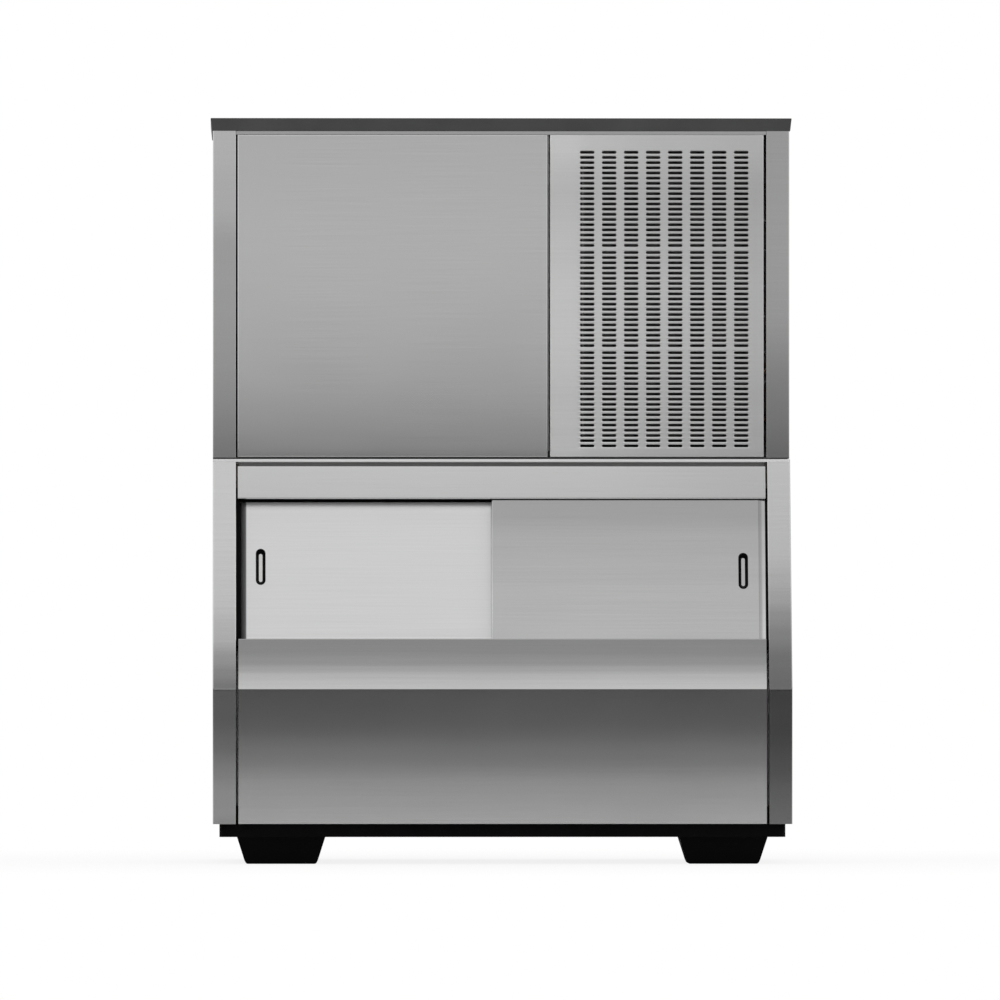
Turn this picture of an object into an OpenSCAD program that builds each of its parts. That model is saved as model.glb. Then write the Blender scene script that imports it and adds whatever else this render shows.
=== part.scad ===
// Cube ice machine: an ice-making head on an insulated storage bin with two sliding doors.
// Millimetres. +X is to the right seen from the front, the front faces -Y, and +Z is up.
// The origin is at floor level, in the middle of the outline seen from above.

/* [Overall] */
// Width over the side panels
width = 1220; // [1180:5:1260]
// Depth of the bin, from its lower front panel to the screw heads at the back
bin_depth = 800; // [780:5:840]
// Depth of the head
head_depth = 620; // [600:5:640]
// Height of the head without its lid
head_height = 693; // [680:1:730]
// Thickness of the sheet metal
sheet = 1.5; // [1:0.1:2]
// Room behind the back panels for screw heads and fitting flanges
rear_clear = 2; // [1.8:0.1:3]

/* [Feet and base] */
// Height of the feet
foot_height = 57; // [40:1:80]
// Width of a front foot at its top
foot_top_w = 186; // [160:1:200]
// Width of a rear foot at its top
rear_foot_w = 150; // [130:1:180]
// How much narrower a foot is at the floor
foot_taper = 37; // [30:1:44]
// Depth of a foot at its top
foot_top_d = 160; // [130:1:180]
// Distance from the middle to a foot's middle, sideways
foot_x = 466; // [430:1:480]
// Distance from the middle to a foot's middle, front to back
foot_y = 285; // [240:1:290]
// Height of the black base
base_height = 27; // [20:1:40]
// How far the base stands in from the bin's sides
base_inset = 14; // [8:1:20]

/* [Bin front] */
// Height of the upright lower front panel
front_rise = 284; // [240:1:320]
// Height of the sloped band under the doors
band_rise = 107; // [90:1:130]
// Height of the door opening
door_rise = 295.5; // [260:0.5:320]
// Height of the header strip above the doors
header_rise = 69; // [62:1:90]
// Height of the shadow groove over the header
groove_rise = 8.5; // [4:0.5:10]
// Height of the bin's top lip
lip_rise = 6; // [4:0.5:8]
// How far the slope leans back from its foot to the lip
slope_run = 134; // [110:1:150]
// Width of a corner post, seen from the front
post_w = 49; // [44:1:56]
// Depth of the folded edge on a post's inner side
post_return = 17; // [12:1:17.5]
// Gap between a post and the panel beside it
panel_gap = 5; // [3:0.5:6]
// Depth of the folded edges of the bin's front panels
bin_return = 10; // [6:1:14]

/* [Doors] */
// How far the closed doors overlap in the middle
door_overlap = 44; // [30:1:60]
// Thickness of a door
door_t = 16; // [12:1:17]
// Gap between a closed door and the post
door_side_gap = 7; // [5.5:0.5:10]
// Clear width of one channel of the tracks
channel_w = 20; // [19:0.5:22]
// Thickness of the track's webs
web_t = 2; // [1.5:0.1:2.5]
// Distance from the header's face to the tracks
track_setback = 4; // [3.8:0.1:6]
// How far a door reaches up into the top track
door_grip = 14; // [10:0.5:16]
// Depth of the bottom track below the band's edge
track_depth = 14; // [11:0.5:18]
// Width of the slanted outer edge of a door
bevel_w = 12; // [8:0.5:14]
// Depth of the slanted outer edge of a door
bevel_d = 3; // [2:0.5:8]

/* [Finger pulls] */
// Height of a pull's rim
pull_h = 79; // [66:1:90]
// Width of a pull's rim
pull_w = 20.5; // [18:0.5:24]
// Distance from a door's outer edge to the middle of its pull
pull_inset = 45; // [40:1:60]
// Height of the left pull's middle above the door opening's sill
left_pull_rise = 165; // [120:1:180]
// Height of the right pull's middle above the door opening's sill
right_pull_rise = 150; // [120:1:180]
// Depth of the pocket in a door
pull_depth = 9; // [6:0.5:10]
// How far a pull's rim stands proud of its door
rim_proud = 1; // [0.5:0.1:1.4]
// Width of a pull's open floor
pull_floor_w = 7.5; // [6:0.5:10]
// Height of a pull's open floor
pull_floor_h = 61.5; // [50:0.5:62]

/* [Insulation] */
// Thickness of the foam walls
foam_t = 38; // [30:1:42]
// Depth of the front wall, from its skin to the liner
front_wall = 50; // [50:1:56]
// Thickness of the liner
liner_t = 3; // [2:0.5:5]

/* [Head front] */
// Height of the lid
lid_height = 27; // [20:1:36]
// How far the lid's top edge stands out over the head
lid_overhang = 5; // [3:0.5:8]
// How far the lid's bottom edge stands out over the head
lid_foot_overhang = 2; // [1:0.5:3]
// Thickness of the lid's skirt
lid_wall = 5; // [4:0.5:6]
// Height of the top rail's face
rail_face = 8; // [6:0.5:12]
// Middle of the gap between the two front panels, from the middle of the head
bulkhead_x = 101; // [90:1:110]
// Depth of the folded edges of the head's front panels
panel_return = 20; // [14:1:22]
// Depth of the top rail's flange
rail_flange = 30; // [24:1:40]

/* [Louvre slots] */
// Columns of slots
slot_cols = 8; // [4:1:8]
// Rows of slots in one group
slot_rows = 19; // [10:1:19]
// Groups of rows
slot_groups = 3; // [1:1:3]
// Length of a slot
slot_l = 30.5; // [20:0.5:32]
// Height of a slot
slot_h = 5.8; // [4:0.1:6.4]
// Distance between columns
slot_pitch_x = 46.6; // [40:0.1:46.8]
// Distance between rows
slot_pitch_z = 10.95; // [9:0.05:11]
// Distance from the last row of a group to the first of the next
slot_group_step = 15; // [12:0.1:16]
// Distance from the panel's left edge to the middle of the first column
slot_margin = 78.5; // [60:0.5:80]
// Distance from the panel's top edge to the middle of the first row
slot_drop = 36; // [24:1:40]

/* [Back panel slots] */
// Length of an exhaust slot
vent_l = 80; // [60:1:90]
// Height of an exhaust slot
vent_h = 8; // [5:0.5:10]
// Distance between exhaust slot rows
vent_pitch_z = 20; // [16:1:24]
// Distance between exhaust slot columns
vent_pitch_x = 105; // [96:1:110]
// Rows of exhaust slots
vent_rows = 16; // [8:1:18]
// Columns of exhaust slots
vent_cols = 3; // [2:1:3]

/* [Evaporator] */
// Distance between the walls of the cube cells
cell = 28; // [24:0.5:30]
// Thickness of the cell walls
cell_wall = 1.6; // [1.2:0.1:2.4]
// Depth of the cells
cell_depth = 24; // [18:1:28]
// Thickness of the evaporator's back plate
evap_plate = 2; // [1.5:0.5:3]
// Radius of the evaporator's tube
evap_tube_r = 4.75; // [4:0.25:6]
// Thickness of the water curtain
curtain_t = 3; // [2:0.5:4]
// Radius of the water curtain's hinge pins
curtain_pin_r = 4; // [3:0.5:5]
// Radial play of pins and shafts in their holes
running_fit = 0.08; // [0.06:0.01:0.1]
// Wall of the water trough
trough_wall = 3; // [2:0.5:4]
// Height of the water trough
trough_h = 65; // [60:1:75]
// Depth of the water trough, front to back
trough_d = 110; // [104:1:120]
// Radius of the distribution tube
spray_r = 12.5; // [10:0.5:14]

/* [Refrigeration] */
// Radius of the compressor's shell
comp_r = 105; // [90:1:112]
// Height of the compressor's shell
comp_h = 216; // [180:1:240]
// Distance between condenser fins
fin_pitch = 12; // [10:0.5:16]
// Thickness of a condenser fin
fin_t = 1; // [0.8:0.1:1.5]
// Depth of the condenser
cond_depth = 50; // [40:1:54]
// Height of the condenser's fins
cond_height = 580; // [520:5:590]
// Rows of condenser tube
cond_rows = 8; // [4:2:8]
// Distance between rows of condenser tube
cond_row_step = 70; // [50:1:70]
// Radius of the condenser's tube
cond_tube_r = 5; // [4:0.5:6]
// Radius of the fan
fan_r = 160; // [130:1:170]
// Number of fan blades
fan_blades = 5; // [3:1:6]
// Pitch of the fan blades, in degrees
fan_pitch = 26; // [20:1:30]
// Gap between the fan and its shroud
fan_gap = 8; // [5:1:10]
// Radius of the discharge and liquid lines
line_r = 4.75; // [3:0.25:5]
// Radius of the suction line
suction_r = 8; // [6:0.5:9]

/* [Fittings] */
// Radius of the drain fittings' threaded hole
drain_hole_r = 12.05; // [9:0.05:13]
// Length of the drain fittings' thread
drain_thread = 25; // [18:1:28]
// Radius of the water inlet's threaded hole
inlet_hole_r = 7.2; // [5:0.1:9]
// Length of the water inlet's thread
inlet_thread = 16; // [12:1:18]
// Radius of the hole in the power inlet bushing
power_hole_r = 8; // [6:0.5:9]

/* [Hidden] */
$fn = 48;

// Clearance between pieces that are seated against each other
fit = 0.3;
// Compressed thickness of the gasket between the head and the bin
gasket_t = 2;
// Thickness of the head's floor plate
floor_t = 2;
// Gap under and over the head's front panels
panel_rest = 2;
// Overlap that makes a cut break through a face cleanly
cut = 1;

half = width / 2;
inner = half - sheet;
y_front = -bin_depth / 2;
y_rear = bin_depth / 2 - rear_clear;
flange_y = y_rear - sheet;
wall_y = flange_y - sheet - fit;
head_y = y_rear - head_depth;

z_bin = foot_height + base_height;
z_crease = z_bin + front_rise;
z_sill = z_crease + band_rise;
z_header = z_sill + door_rise;
z_groove = z_header + header_rise;
z_lip = z_groove + groove_rise;
z_bin_top = z_lip + lip_rise;
z_head = z_bin_top + gasket_t;
z_floor = z_head + floor_t;
z_panel = z_floor + panel_rest;
z_head_top = z_head + head_height;
z_rail = z_head_top - rail_face;
z_panel_top = z_rail - cut;
z_top = z_head_top + lid_height;

slope_angle = atan(slope_run / (z_bin_top - z_crease));
panel_x = half - post_w - panel_gap;

// Distance up the slope of a height z
function up(z) = (z - z_crease) / cos(slope_angle);
// Depth of the slope's face at a height z
function slope_y(z) = y_front + (z - z_crease) * tan(slope_angle);
// The front's outline seen from the side, moved in by d, from its foot to a height z
function front_line(d, z) = [
    [y_front + d, z_bin + fit],
    [y_front + d, z_crease - d * tan(slope_angle / 2)],
    [slope_y(z) + d / cos(slope_angle), z]];
function reversed(list) = [for (i = [len(list) - 1:-1:0]) list[i]];
function unit(v) = v / norm(v);

// A box between two corners
module block(a, b) {
    translate(a) cube(b - a);
}

// A rod along X, Y or Z
module rod_x(x0, x1, y, z, r) {
    translate([x0, y, z]) rotate([0, 90, 0]) cylinder(h = x1 - x0, r = r);
}
module rod_y(y0, y1, x, z, r) {
    translate([x, y0, z]) rotate([-90, 0, 0]) cylinder(h = y1 - y0, r = r);
}
module rod_z(z0, z1, x, y, r) {
    translate([x, y, z0]) cylinder(h = z1 - z0, r = r);
}

// An outline in Y and Z, carried along X
module along_x(x0, x1) {
    translate([x0, 0, 0]) rotate([90, 0, 90]) linear_extrude(x1 - x0) children();
}

// An outline in X and Z, whose back lies at y and whose thickness comes forward
module facing(y, thickness) {
    translate([0, y, 0]) rotate([90, 0, 0]) linear_extrude(thickness) children();
}

// Slope coordinates: X, depth in from the sloped face, and distance up the slope
module on_slope() {
    translate([0, y_front, z_crease]) rotate([-slope_angle, 0, 0]) children();
}

// A long hole with round ends, lying along X or standing along Y
module slot_flat(length, height) {
    square([length - height, height], center = true);
    for (s = [-1, 1]) translate([s * (length - height) / 2, 0]) circle(d = height);
}
module slot_upright(w, h) {
    rotate(90) slot_flat(h, w);
}

// A rectangle with round corners
module round_rect(w, d, r) {
    square([w - 2 * r, d], center = true);
    square([w, d - 2 * r], center = true);
    for (x = [-1, 1], y = [-1, 1]) translate([x * (w / 2 - r), y * (d / 2 - r)]) circle(r = r);
}

// A tube along a list of points, with a round bend at each corner
module tube_run(points, r, bend) {
    last = len(points) - 1;
    function way(i) = unit(points[i + 1] - points[i]);
    function trim(i) = i == 0 || i == last ? 0
        : bend * tan(acos(way(i - 1) * way(i)) / 2);
    for (i = [0:last - 1]) {
        a = points[i] + trim(i) * way(i);
        b = points[i + 1] - trim(i + 1) * way(i);
        z = way(i);
        x = unit(abs(z.z) > 0.9 ? cross([0, 1, 0], z) : cross([0, 0, 1], z));
        y = cross(z, x);
        multmatrix([[x.x, y.x, z.x, a.x], [x.y, y.y, z.y, a.y], [x.z, y.z, z.z, a.z], [0, 0, 0, 1]])
            cylinder(h = norm(b - a), r = r);
    }
    for (i = [1:1:last - 1]) {
        u = way(i - 1);
        w = way(i);
        n = unit(w - (w * u) * u);
        x = -n;
        z = cross(x, u);
        c = points[i] - trim(i) * u + bend * n;
        multmatrix([[x.x, u.x, z.x, c.x], [x.y, u.y, z.y, c.y], [x.z, u.z, z.z, c.z], [0, 0, 0, 1]])
            rotate_extrude(angle = acos(u * w)) translate([bend, 0]) circle(r = r);
    }
}

// Rear screws: their heights on the head and on the bin
screw_r = 2;
screw_head_r = 4;
screw_rows = 4;
screw_margin = 40;
rear_flange = 16;
screw_x = inner - rear_flange / 2;
function spread(z0, z1) = [for (i = [0:screw_rows - 1])
    z0 + screw_margin + i * (z1 - z0 - 2 * screw_margin) / (screw_rows - 1)];
head_screw_z = spread(z_floor, z_floor + head_height);
bin_screw_z = spread(z_bin, z_lip);

module rear_screw_holes(heights) {
    for (s = [-1, 1], z = heights)
        rod_y(flange_y - sheet - cut, y_rear + cut, s * screw_x, z, screw_r + running_fit);
}

// Head casing

// Ice drop opening in the head's floor: its distances from the walls, its depth and its sides
drop_side = 90;
drop_bulkhead = 41;
drop_front = 52;
drop_depth = 213;
drop_x0 = -half + drop_side;
drop_x1 = bulkhead_x - drop_bulkhead;
drop_y0 = head_y + drop_front;
drop_y1 = drop_y0 + drop_depth;
rim_h = 14;
collar_h = 20;

module head_base() {
    color([0.23, 0.23, 0.24]) difference() {
        union() {
            block([-half, head_y, z_head], [half, y_rear, z_floor]);
            difference() {
                block([-inner + fit, head_y + panel_return + fit, z_floor],
                    [inner - fit, wall_y, z_floor + rim_h]);
                block([-inner + fit + floor_t, head_y + panel_return + fit + floor_t, z_floor],
                    [inner - fit - floor_t, wall_y - floor_t, z_floor + rim_h + cut]);
            }
            block([drop_x0 - floor_t, drop_y0 - floor_t, z_floor],
                [drop_x1 + floor_t, drop_y1 + floor_t, z_floor + collar_h]);
        }
        block([drop_x0, drop_y0, z_head - cut], [drop_x1, drop_y1, z_floor + collar_h + cut]);
    }
}

// The right-hand side panel with its front post; the left one is its mirror image
module head_side() {
    color([0.62, 0.62, 0.63]) difference() {
        union() {
            block([inner, head_y, z_floor], [half, flange_y, z_head_top]);
            block([half - post_w, head_y, z_floor], [half, head_y + sheet, z_head_top]);
            block([half - post_w, head_y, z_floor], [half - post_w + sheet, head_y + post_return,
                z_head_top]);
            block([inner - rear_flange, flange_y - sheet, z_floor], [half, flange_y, z_head_top]);
            block([inner - rear_flange, head_y, z_head_top - sheet], [half, flange_y, z_head_top]);
        }
        rear_screw_holes(head_screw_z);
    }
}

module head_left_side() {
    mirror([1, 0, 0]) head_side();
}

module head_right_side() {
    head_side();
}

// Fittings on the back of the head: their places and radii
fitting_rise = 42;
drain_inset = 90;
fitting_step = 100;
power_inset = 110;
fitting_z = z_floor + fitting_rise;
drain_x = -half + drain_inset;
inlet_x = drain_x + fitting_step;
power_x = half - power_inset;
fitting_r = 16;
fitting_flange_r = 22;
fitting_nut = 8;
inlet_body_r = 14;
power_body_r = 11;

module head_back() {
    vent_x = (bulkhead_x + half) / 2;
    vent_z = z_head + head_height / 2;
    color([0.6, 0.6, 0.61]) difference() {
        facing(y_rear, sheet) difference() {
            translate([-half, z_floor]) square([width, z_head_top - z_floor]);
            for (c = [0:vent_cols - 1], r = [0:vent_rows - 1])
                translate([vent_x + (c - (vent_cols - 1) / 2) * vent_pitch_x,
                    vent_z + (r - (vent_rows - 1) / 2) * vent_pitch_z]) slot_flat(vent_l, vent_h);
            translate([drain_x, fitting_z]) circle(r = fitting_r + fit);
            translate([inlet_x, fitting_z]) circle(r = inlet_body_r + fit);
            translate([power_x, fitting_z]) circle(r = power_body_r + fit);
        }
        rear_screw_holes(head_screw_z);
    }
}

// A lid outline seen from the front, from the side or from inside it
module lid_body(side_top, side_foot, z0, z1, back) {
    intersection() {
        facing(y_rear, head_depth + side_top) polygon([[-half - side_foot, z0], [half + side_foot, z0],
            [half + side_top, z1], [-half - side_top, z1]]);
        along_x(-half - side_top, half + side_top) polygon([[head_y - side_foot, z0], [back, z0],
            [back, z1], [head_y - side_top, z1]]);
    }
}

module lid() {
    color([0.2, 0.2, 0.21]) difference() {
        lid_body(lid_overhang, lid_foot_overhang, z_head_top, z_top, y_rear);
        lid_body(lid_overhang - lid_wall, lid_foot_overhang - lid_wall, z_head_top - cut,
            z_top - lid_wall,
            y_rear - lid_wall);
    }
}

module top_rail() {
    x = half - post_w - fit;
    color([0.58, 0.58, 0.58]) {
        block([-x, head_y, z_rail], [x, head_y + sheet, z_head_top]);
        block([-x, head_y, z_head_top - sheet], [x, head_y + rail_flange, z_head_top]);
    }
}

// The folded edges round a front panel of the head
module panel_edges(x0, x1) {
    difference() {
        block([x0, head_y, z_panel], [x1, head_y + panel_return, z_panel_top]);
        block([x0 + sheet, head_y - cut, z_panel + sheet],
            [x1 - sheet, head_y + panel_return + cut, z_panel_top - sheet]);
    }
}

module front_panel() {
    x1 = bulkhead_x - panel_gap / 2;
    color([0.62, 0.62, 0.62]) {
        block([-panel_x, head_y, z_panel], [x1, head_y + sheet, z_panel_top]);
        panel_edges(-panel_x, x1);
    }
}

module louvre_panel() {
    x0 = bulkhead_x + panel_gap / 2;
    group_height = (slot_rows - 1) * slot_pitch_z + slot_group_step;
    color([0.7, 0.7, 0.7]) {
        facing(head_y + sheet, sheet) difference() {
            translate([x0, z_panel]) square([panel_x - x0, z_panel_top - z_panel]);
            for (g = [0:slot_groups - 1], r = [0:slot_rows - 1], c = [0:slot_cols - 1])
                translate([x0 + slot_margin + c * slot_pitch_x,
                    z_panel_top - slot_drop - g * group_height - r * slot_pitch_z]) slot_flat(slot_l,
                        slot_h);
        }
        panel_edges(x0, panel_x);
    }
}

// Places inside the head

// The evaporator: its distances from the bulkhead, the side, the head's front, floor and top
evap_right = 79;
evap_left = 125;
evap_front = 282;
evap_rise = 234;
evap_headroom = 91;
evap_x1 = bulkhead_x - evap_right;
evap_cols = floor((half + evap_x1 - evap_left) / cell);
evap_x0 = evap_x1 - evap_cols * cell;
evap_y = head_y + evap_front;
evap_z0 = z_head + evap_rise;
evap_rows = floor((head_height - evap_rise - evap_headroom) / cell);
evap_z1 = evap_z0 + evap_rows * cell;
evap_back = evap_y + cell_depth + evap_plate;

// Its coil, whose two ends pass through the bulkhead
coil_pitch = 48;
coil_stub = 11;
coil_y = evap_back + fit + evap_tube_r;
coil_passes = 2 * floor((evap_z1 - evap_z0) / coil_pitch / 2) + 2;
coil_z0 = (evap_z0 + evap_z1) / 2 - (coil_passes - 1) * coil_pitch / 2;
coil_z1 = coil_z0 + (coil_passes - 1) * coil_pitch;
coil_end_x = bulkhead_x + coil_stub;

// The frame that carries it, and the water curtain hung in the frame's ears
wall_left = -inner + fit;
wall_right = bulkhead_x - sheet / 2 - fit;
frame_gap = 2;
frame_proud = 12;
beam_h = 20;
ear_t = 14;
ear_w = 18;
strut_w = 12;
strut_inset = 50;
curtain_gap = 26;
curtain_rise = 16;
curtain_drop = 15;
curtain_x0 = evap_x0 - frame_gap;
curtain_x1 = evap_x1 + frame_gap;
curtain_y = evap_y - curtain_gap;
curtain_z = evap_z1 + curtain_rise;
curtain_bottom = evap_z0 - curtain_drop;

// The water trough and the pump over it, with a pipe that rises to the distribution tube
trough_rise = 129;
trough_lead = 10;
pump_left = 78;
pump_offset = 5;
riser_step = 36;
riser_r = 8;
riser_h = 25;
spray_lead = 6;
spray_rise = 51;
spray_wall = 2;
spray_hole_r = 1.5;
trough_y = evap_y - trough_lead;
trough_z = z_head + trough_rise;
trough_top = trough_z + trough_h;
pump_x = evap_x0 - pump_left;
pump_y = trough_y + trough_d / 2 + pump_offset;
pump_plate = trough_top + fit;
riser_x = pump_x + riser_step;
riser_top = pump_plate + riser_h;
spray_y = evap_y - spray_lead;
spray_z = evap_z1 + spray_rise;

module bulkhead() {
    hole = fit + cut;
    color([0.66, 0.66, 0.67]) difference() {
        union() {
            block([bulkhead_x - sheet / 2, head_y + panel_return + floor_t + 2 * fit, z_floor + fit],
                [bulkhead_x + sheet / 2, wall_y - floor_t - fit, z_head_top - sheet - fit]);
            block([bulkhead_x - sheet / 2, head_y + panel_return + floor_t + 2 * fit, z_floor + fit],
                [bulkhead_x + rear_flange, wall_y - floor_t - fit, z_floor + fit + sheet]);
        }
        for (z = [coil_z0, coil_z1])
            rod_x(bulkhead_x - ear_w, bulkhead_x + ear_w, coil_y, z, evap_tube_r + hole);
    }
}

module evaporator_grid() {
    color([0.78, 0.79, 0.8]) {
        facing(evap_y + cell_depth, cell_depth) difference() {
            translate([evap_x0, evap_z0]) square([evap_x1 - evap_x0, evap_z1 - evap_z0]);
            for (c = [0:evap_cols - 1], r = [0:evap_rows - 1])
                translate([evap_x0 + c * cell + cell_wall / 2, evap_z0 + r * cell + cell_wall / 2])
                    square(cell - cell_wall);
        }
        block([evap_x0, evap_y + cell_depth, evap_z0], [evap_x1, evap_back, evap_z1]);
    }
}

module evaporator_coil() {
    bend = coil_pitch / 2;
    turn_x0 = evap_x0 + bend + evap_tube_r;
    turn_x1 = evap_x1 - bend - evap_tube_r;
    color([0.72, 0.45, 0.3]) {
        for (i = [0:coil_passes - 1]) {
            first_or_last = i == 0 || i == coil_passes - 1;
            rod_x(turn_x0, first_or_last ? coil_end_x : turn_x1, coil_y, coil_z0 + i * coil_pitch,
                evap_tube_r);
        }
        for (i = [0:coil_passes - 2])
            translate([i % 2 == 0 ? turn_x0 : turn_x1, coil_y, coil_z0 + (i + 0.5) * coil_pitch])
                rotate([90, i % 2 == 0 ? 90 : -90, 0]) rotate([0, 0, 180])
                    rotate_extrude(angle = 180) translate([bend, 0]) circle(r = evap_tube_r);
    }
}

module evaporator_frame() {
    y0 = evap_y - frame_proud;
    low = evap_z0 - frame_gap - beam_h;
    high = evap_z1 + frame_gap;
    ears_x = [curtain_x0 - frame_gap - ear_t, curtain_x1 + frame_gap];
    color([0.9, 0.9, 0.88]) difference() {
        union() {
            for (z = [low, high]) block([wall_left, y0, z], [wall_right, evap_back, z + beam_h]);
            for (x = [evap_x0 - fit - ear_w, evap_x1 + fit])
                block([x, y0, low], [x + ear_w, evap_back, high + beam_h]);
            for (x = ears_x) block([x, curtain_y - ear_w / 2, curtain_z - ear_w / 2],
                [x + ear_t, y0 + cut, curtain_z + ear_w / 2]);
            for (x = [evap_x0 + strut_inset, evap_x1 - strut_inset - strut_w])
                block([x, spray_y - spray_r / 2, high + beam_h],
                    [x + strut_w, evap_back, spray_z - spray_r - fit]);
        }
        for (x = ears_x)
            rod_x(x - cut, x + ear_t + cut, curtain_y, curtain_z, curtain_pin_r + running_fit);
    }
}

module water_curtain() {
    hub_wall = 4;
    ribs = 7;
    rib_w = 3;
    rib_d = 5;
    rib_inset = 20;
    rib_step = (curtain_x1 - curtain_x0 - 2 * rib_inset - rib_w) / (ribs - 1);
    color([0.93, 0.94, 0.95]) {
        rod_x(curtain_x0, curtain_x1, curtain_y, curtain_z, curtain_pin_r + hub_wall);
        rod_x(curtain_x0 - ear_t, curtain_x1 + ear_t, curtain_y, curtain_z, curtain_pin_r);
        block([curtain_x0, curtain_y - curtain_t / 2, curtain_bottom],
            [curtain_x1, curtain_y + curtain_t / 2, curtain_z]);
        for (i = [0:ribs - 1]) translate([curtain_x0 + rib_inset + i * rib_step, 0, 0])
            block([0, curtain_y - curtain_t / 2 - rib_d, curtain_bottom + rib_inset],
                [rib_w, curtain_y, curtain_z]);
    }
}

module water_trough() {
    color([0.86, 0.87, 0.86]) difference() {
        block([wall_left, trough_y, trough_z], [wall_right, trough_y + trough_d, trough_top]);
        block([wall_left + trough_wall, trough_y + trough_wall, trough_z + trough_wall],
            [wall_right - trough_wall, trough_y + trough_d - trough_wall, trough_top + cut]);
    }
}

// The pump's volute near the trough's floor, its shaft and its motor
pump_shaft_r = 3;
shaft_reach = 28;
volute_gap = 4;
volute_h = 20;
volute_wall = 3;
cavity_r = 24;
impeller_gap = 3;
volute_z = trough_z + trough_wall + volute_gap;
impeller_z = volute_z + volute_wall + impeller_gap;

module pump_housing() {
    plate_t = 3;
    plate_lap = 6;
    plate_inset = 10;
    neck_r = 9;
    motor_rise = 12;
    motor_h = 63;
    pump_motor_r = 24;
    motor_z = pump_plate + motor_rise;
    color([0.3, 0.31, 0.33]) difference() {
        union() {
            block([wall_left + plate_inset, trough_y - plate_lap, pump_plate],
                [riser_x + 2 * riser_r + plate_lap, trough_y + trough_d + plate_lap,
                    pump_plate + plate_t]);
            rod_z(volute_z, volute_z + volute_h, pump_x, pump_y, cavity_r + volute_wall + cut);
            rod_z(volute_z, motor_z, pump_x, pump_y, neck_r);
            rod_z(motor_z, motor_z + motor_h, pump_x, pump_y, pump_motor_r);
            block([pump_x + cavity_r + cut, pump_y - riser_r, volute_z],
                [riser_x, pump_y + riser_r, volute_z + volute_h]);
            rod_z(volute_z, riser_top, riser_x, pump_y, riser_r);
        }
        rod_z(volute_z + volute_wall, volute_z + volute_h - volute_wall, pump_x, pump_y, cavity_r);
        rod_z(volute_z - cut, volute_z + volute_wall + cut, pump_x, pump_y, cavity_r / 3);
        rod_z(volute_z, pump_plate + shaft_reach + 2 * cut, pump_x, pump_y,
            pump_shaft_r + running_fit);
    }
}

module pump_rotor() {
    vanes = 6;
    vane_t = 1.5;
    vane_h = 7;
    disc_t = 2;
    hub_r = 7;
    hub_h = 8;
    tip_gap = 2;
    color([0.8, 0.8, 0.78]) {
        rod_z(impeller_z, pump_plate + shaft_reach, pump_x, pump_y, pump_shaft_r);
        rod_z(impeller_z, impeller_z + hub_h, pump_x, pump_y, hub_r);
        rod_z(impeller_z + hub_h - disc_t, impeller_z + hub_h, pump_x, pump_y, cavity_r - tip_gap);
        for (i = [0:vanes - 1])
            translate([pump_x, pump_y, impeller_z]) rotate([0, 0, i * 360 / vanes])
                block([hub_r - tip_gap, -vane_t / 2, 0], [cavity_r - tip_gap - cut, vane_t / 2, vane_h]);
    }
}

module distribution_tube() {
    end_wall = 3;
    color([0.88, 0.88, 0.87]) difference() {
        rod_x(evap_x0, evap_x1, spray_y, spray_z, spray_r);
        rod_x(evap_x0 - cut, evap_x1 - end_wall, spray_y, spray_z, spray_r - spray_wall);
        for (i = [1:evap_cols - 1])
            rod_z(spray_z - spray_r - cut, spray_z, evap_x0 + i * cell, spray_y, spray_hole_r);
    }
}

// Two rods that feel the water's level, on a plate across the trough
module level_probe() {
    plate_w = 40;
    plate_t = 6;
    plate_lap = 4;
    rod_step = 20;
    probe_r = 2;
    tip_gap = 12;
    top = 14;
    x = wall_right - plate_w;
    y = trough_y + trough_d / 2;
    color([0.75, 0.75, 0.75]) {
        block([x - plate_w / 2, trough_y - plate_lap, pump_plate],
            [x + plate_w / 2, trough_y + trough_d + plate_lap, pump_plate + plate_t]);
        for (s = [-1, 1]) rod_z(trough_z + trough_wall + tip_gap, pump_plate + top,
            x + s * rod_step / 2, y, probe_r);
    }
}

// Refrigeration side

// The compressor on its four mounts, its terminal box and the heights of its stubs
comp_left = 26;
comp_front = 422;
mount_h = 26;
mount_step = 90;
comp_line_drop = 60;
stub = 10;
stub_root = 8;
terminal_w = 60;
terminal_z0 = 40;
terminal_h = 60;
gas_gap = 16;
comp_x = (bulkhead_x + half) / 2 - comp_left;
comp_y = head_y + comp_front;
comp_z = z_floor + mount_h;
comp_line_z = comp_z + comp_h - comp_line_drop;
gas_z = comp_z + terminal_z0 + terminal_h + gas_gap;

// The condenser behind the louvres: its distances from the bulkhead, the side, the front and the floor
cond_left = 74;
cond_right = 65;
cond_front = 32;
cond_rise = 44;
sheet_end = 2;
port_reach = 6;
right_run = 30;
cond_x0 = bulkhead_x + cond_left;
cond_x1 = half - cond_right;
cond_y0 = head_y + cond_front;
cond_y1 = cond_y0 + cond_depth;
cond_z0 = z_head + cond_rise;
cond_z1 = cond_z0 + cond_height;
cond_out_z = (cond_z0 + cond_z1) / 2 - (cond_rows - 1) * cond_row_step / 2;
cond_in_z = cond_out_z + (cond_rows - 1) * cond_row_step;
cond_mid_y = (cond_y0 + cond_y1) / 2;
cond_port_x = cond_x1 + sheet_end + port_reach;
right_run_x = half - right_run;

// The fan and its motor behind it
shroud_gap = 3;
side_lap = 24;
fan_hub_r = 22;
fan_hub_l = 30;
fan_shaft_r = 4;
fan_lead = 8;
motor_r = 42;
motor_l = 56;
motor_gap = 22;
shroud_y = cond_y1 + shroud_gap;
fan_x = (cond_x0 + cond_x1) / 2;
fan_z = (cond_z0 + cond_z1) / 2;
fan_front = shroud_y + fan_lead;
motor_front = fan_front + fan_hub_l + motor_gap;

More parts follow.
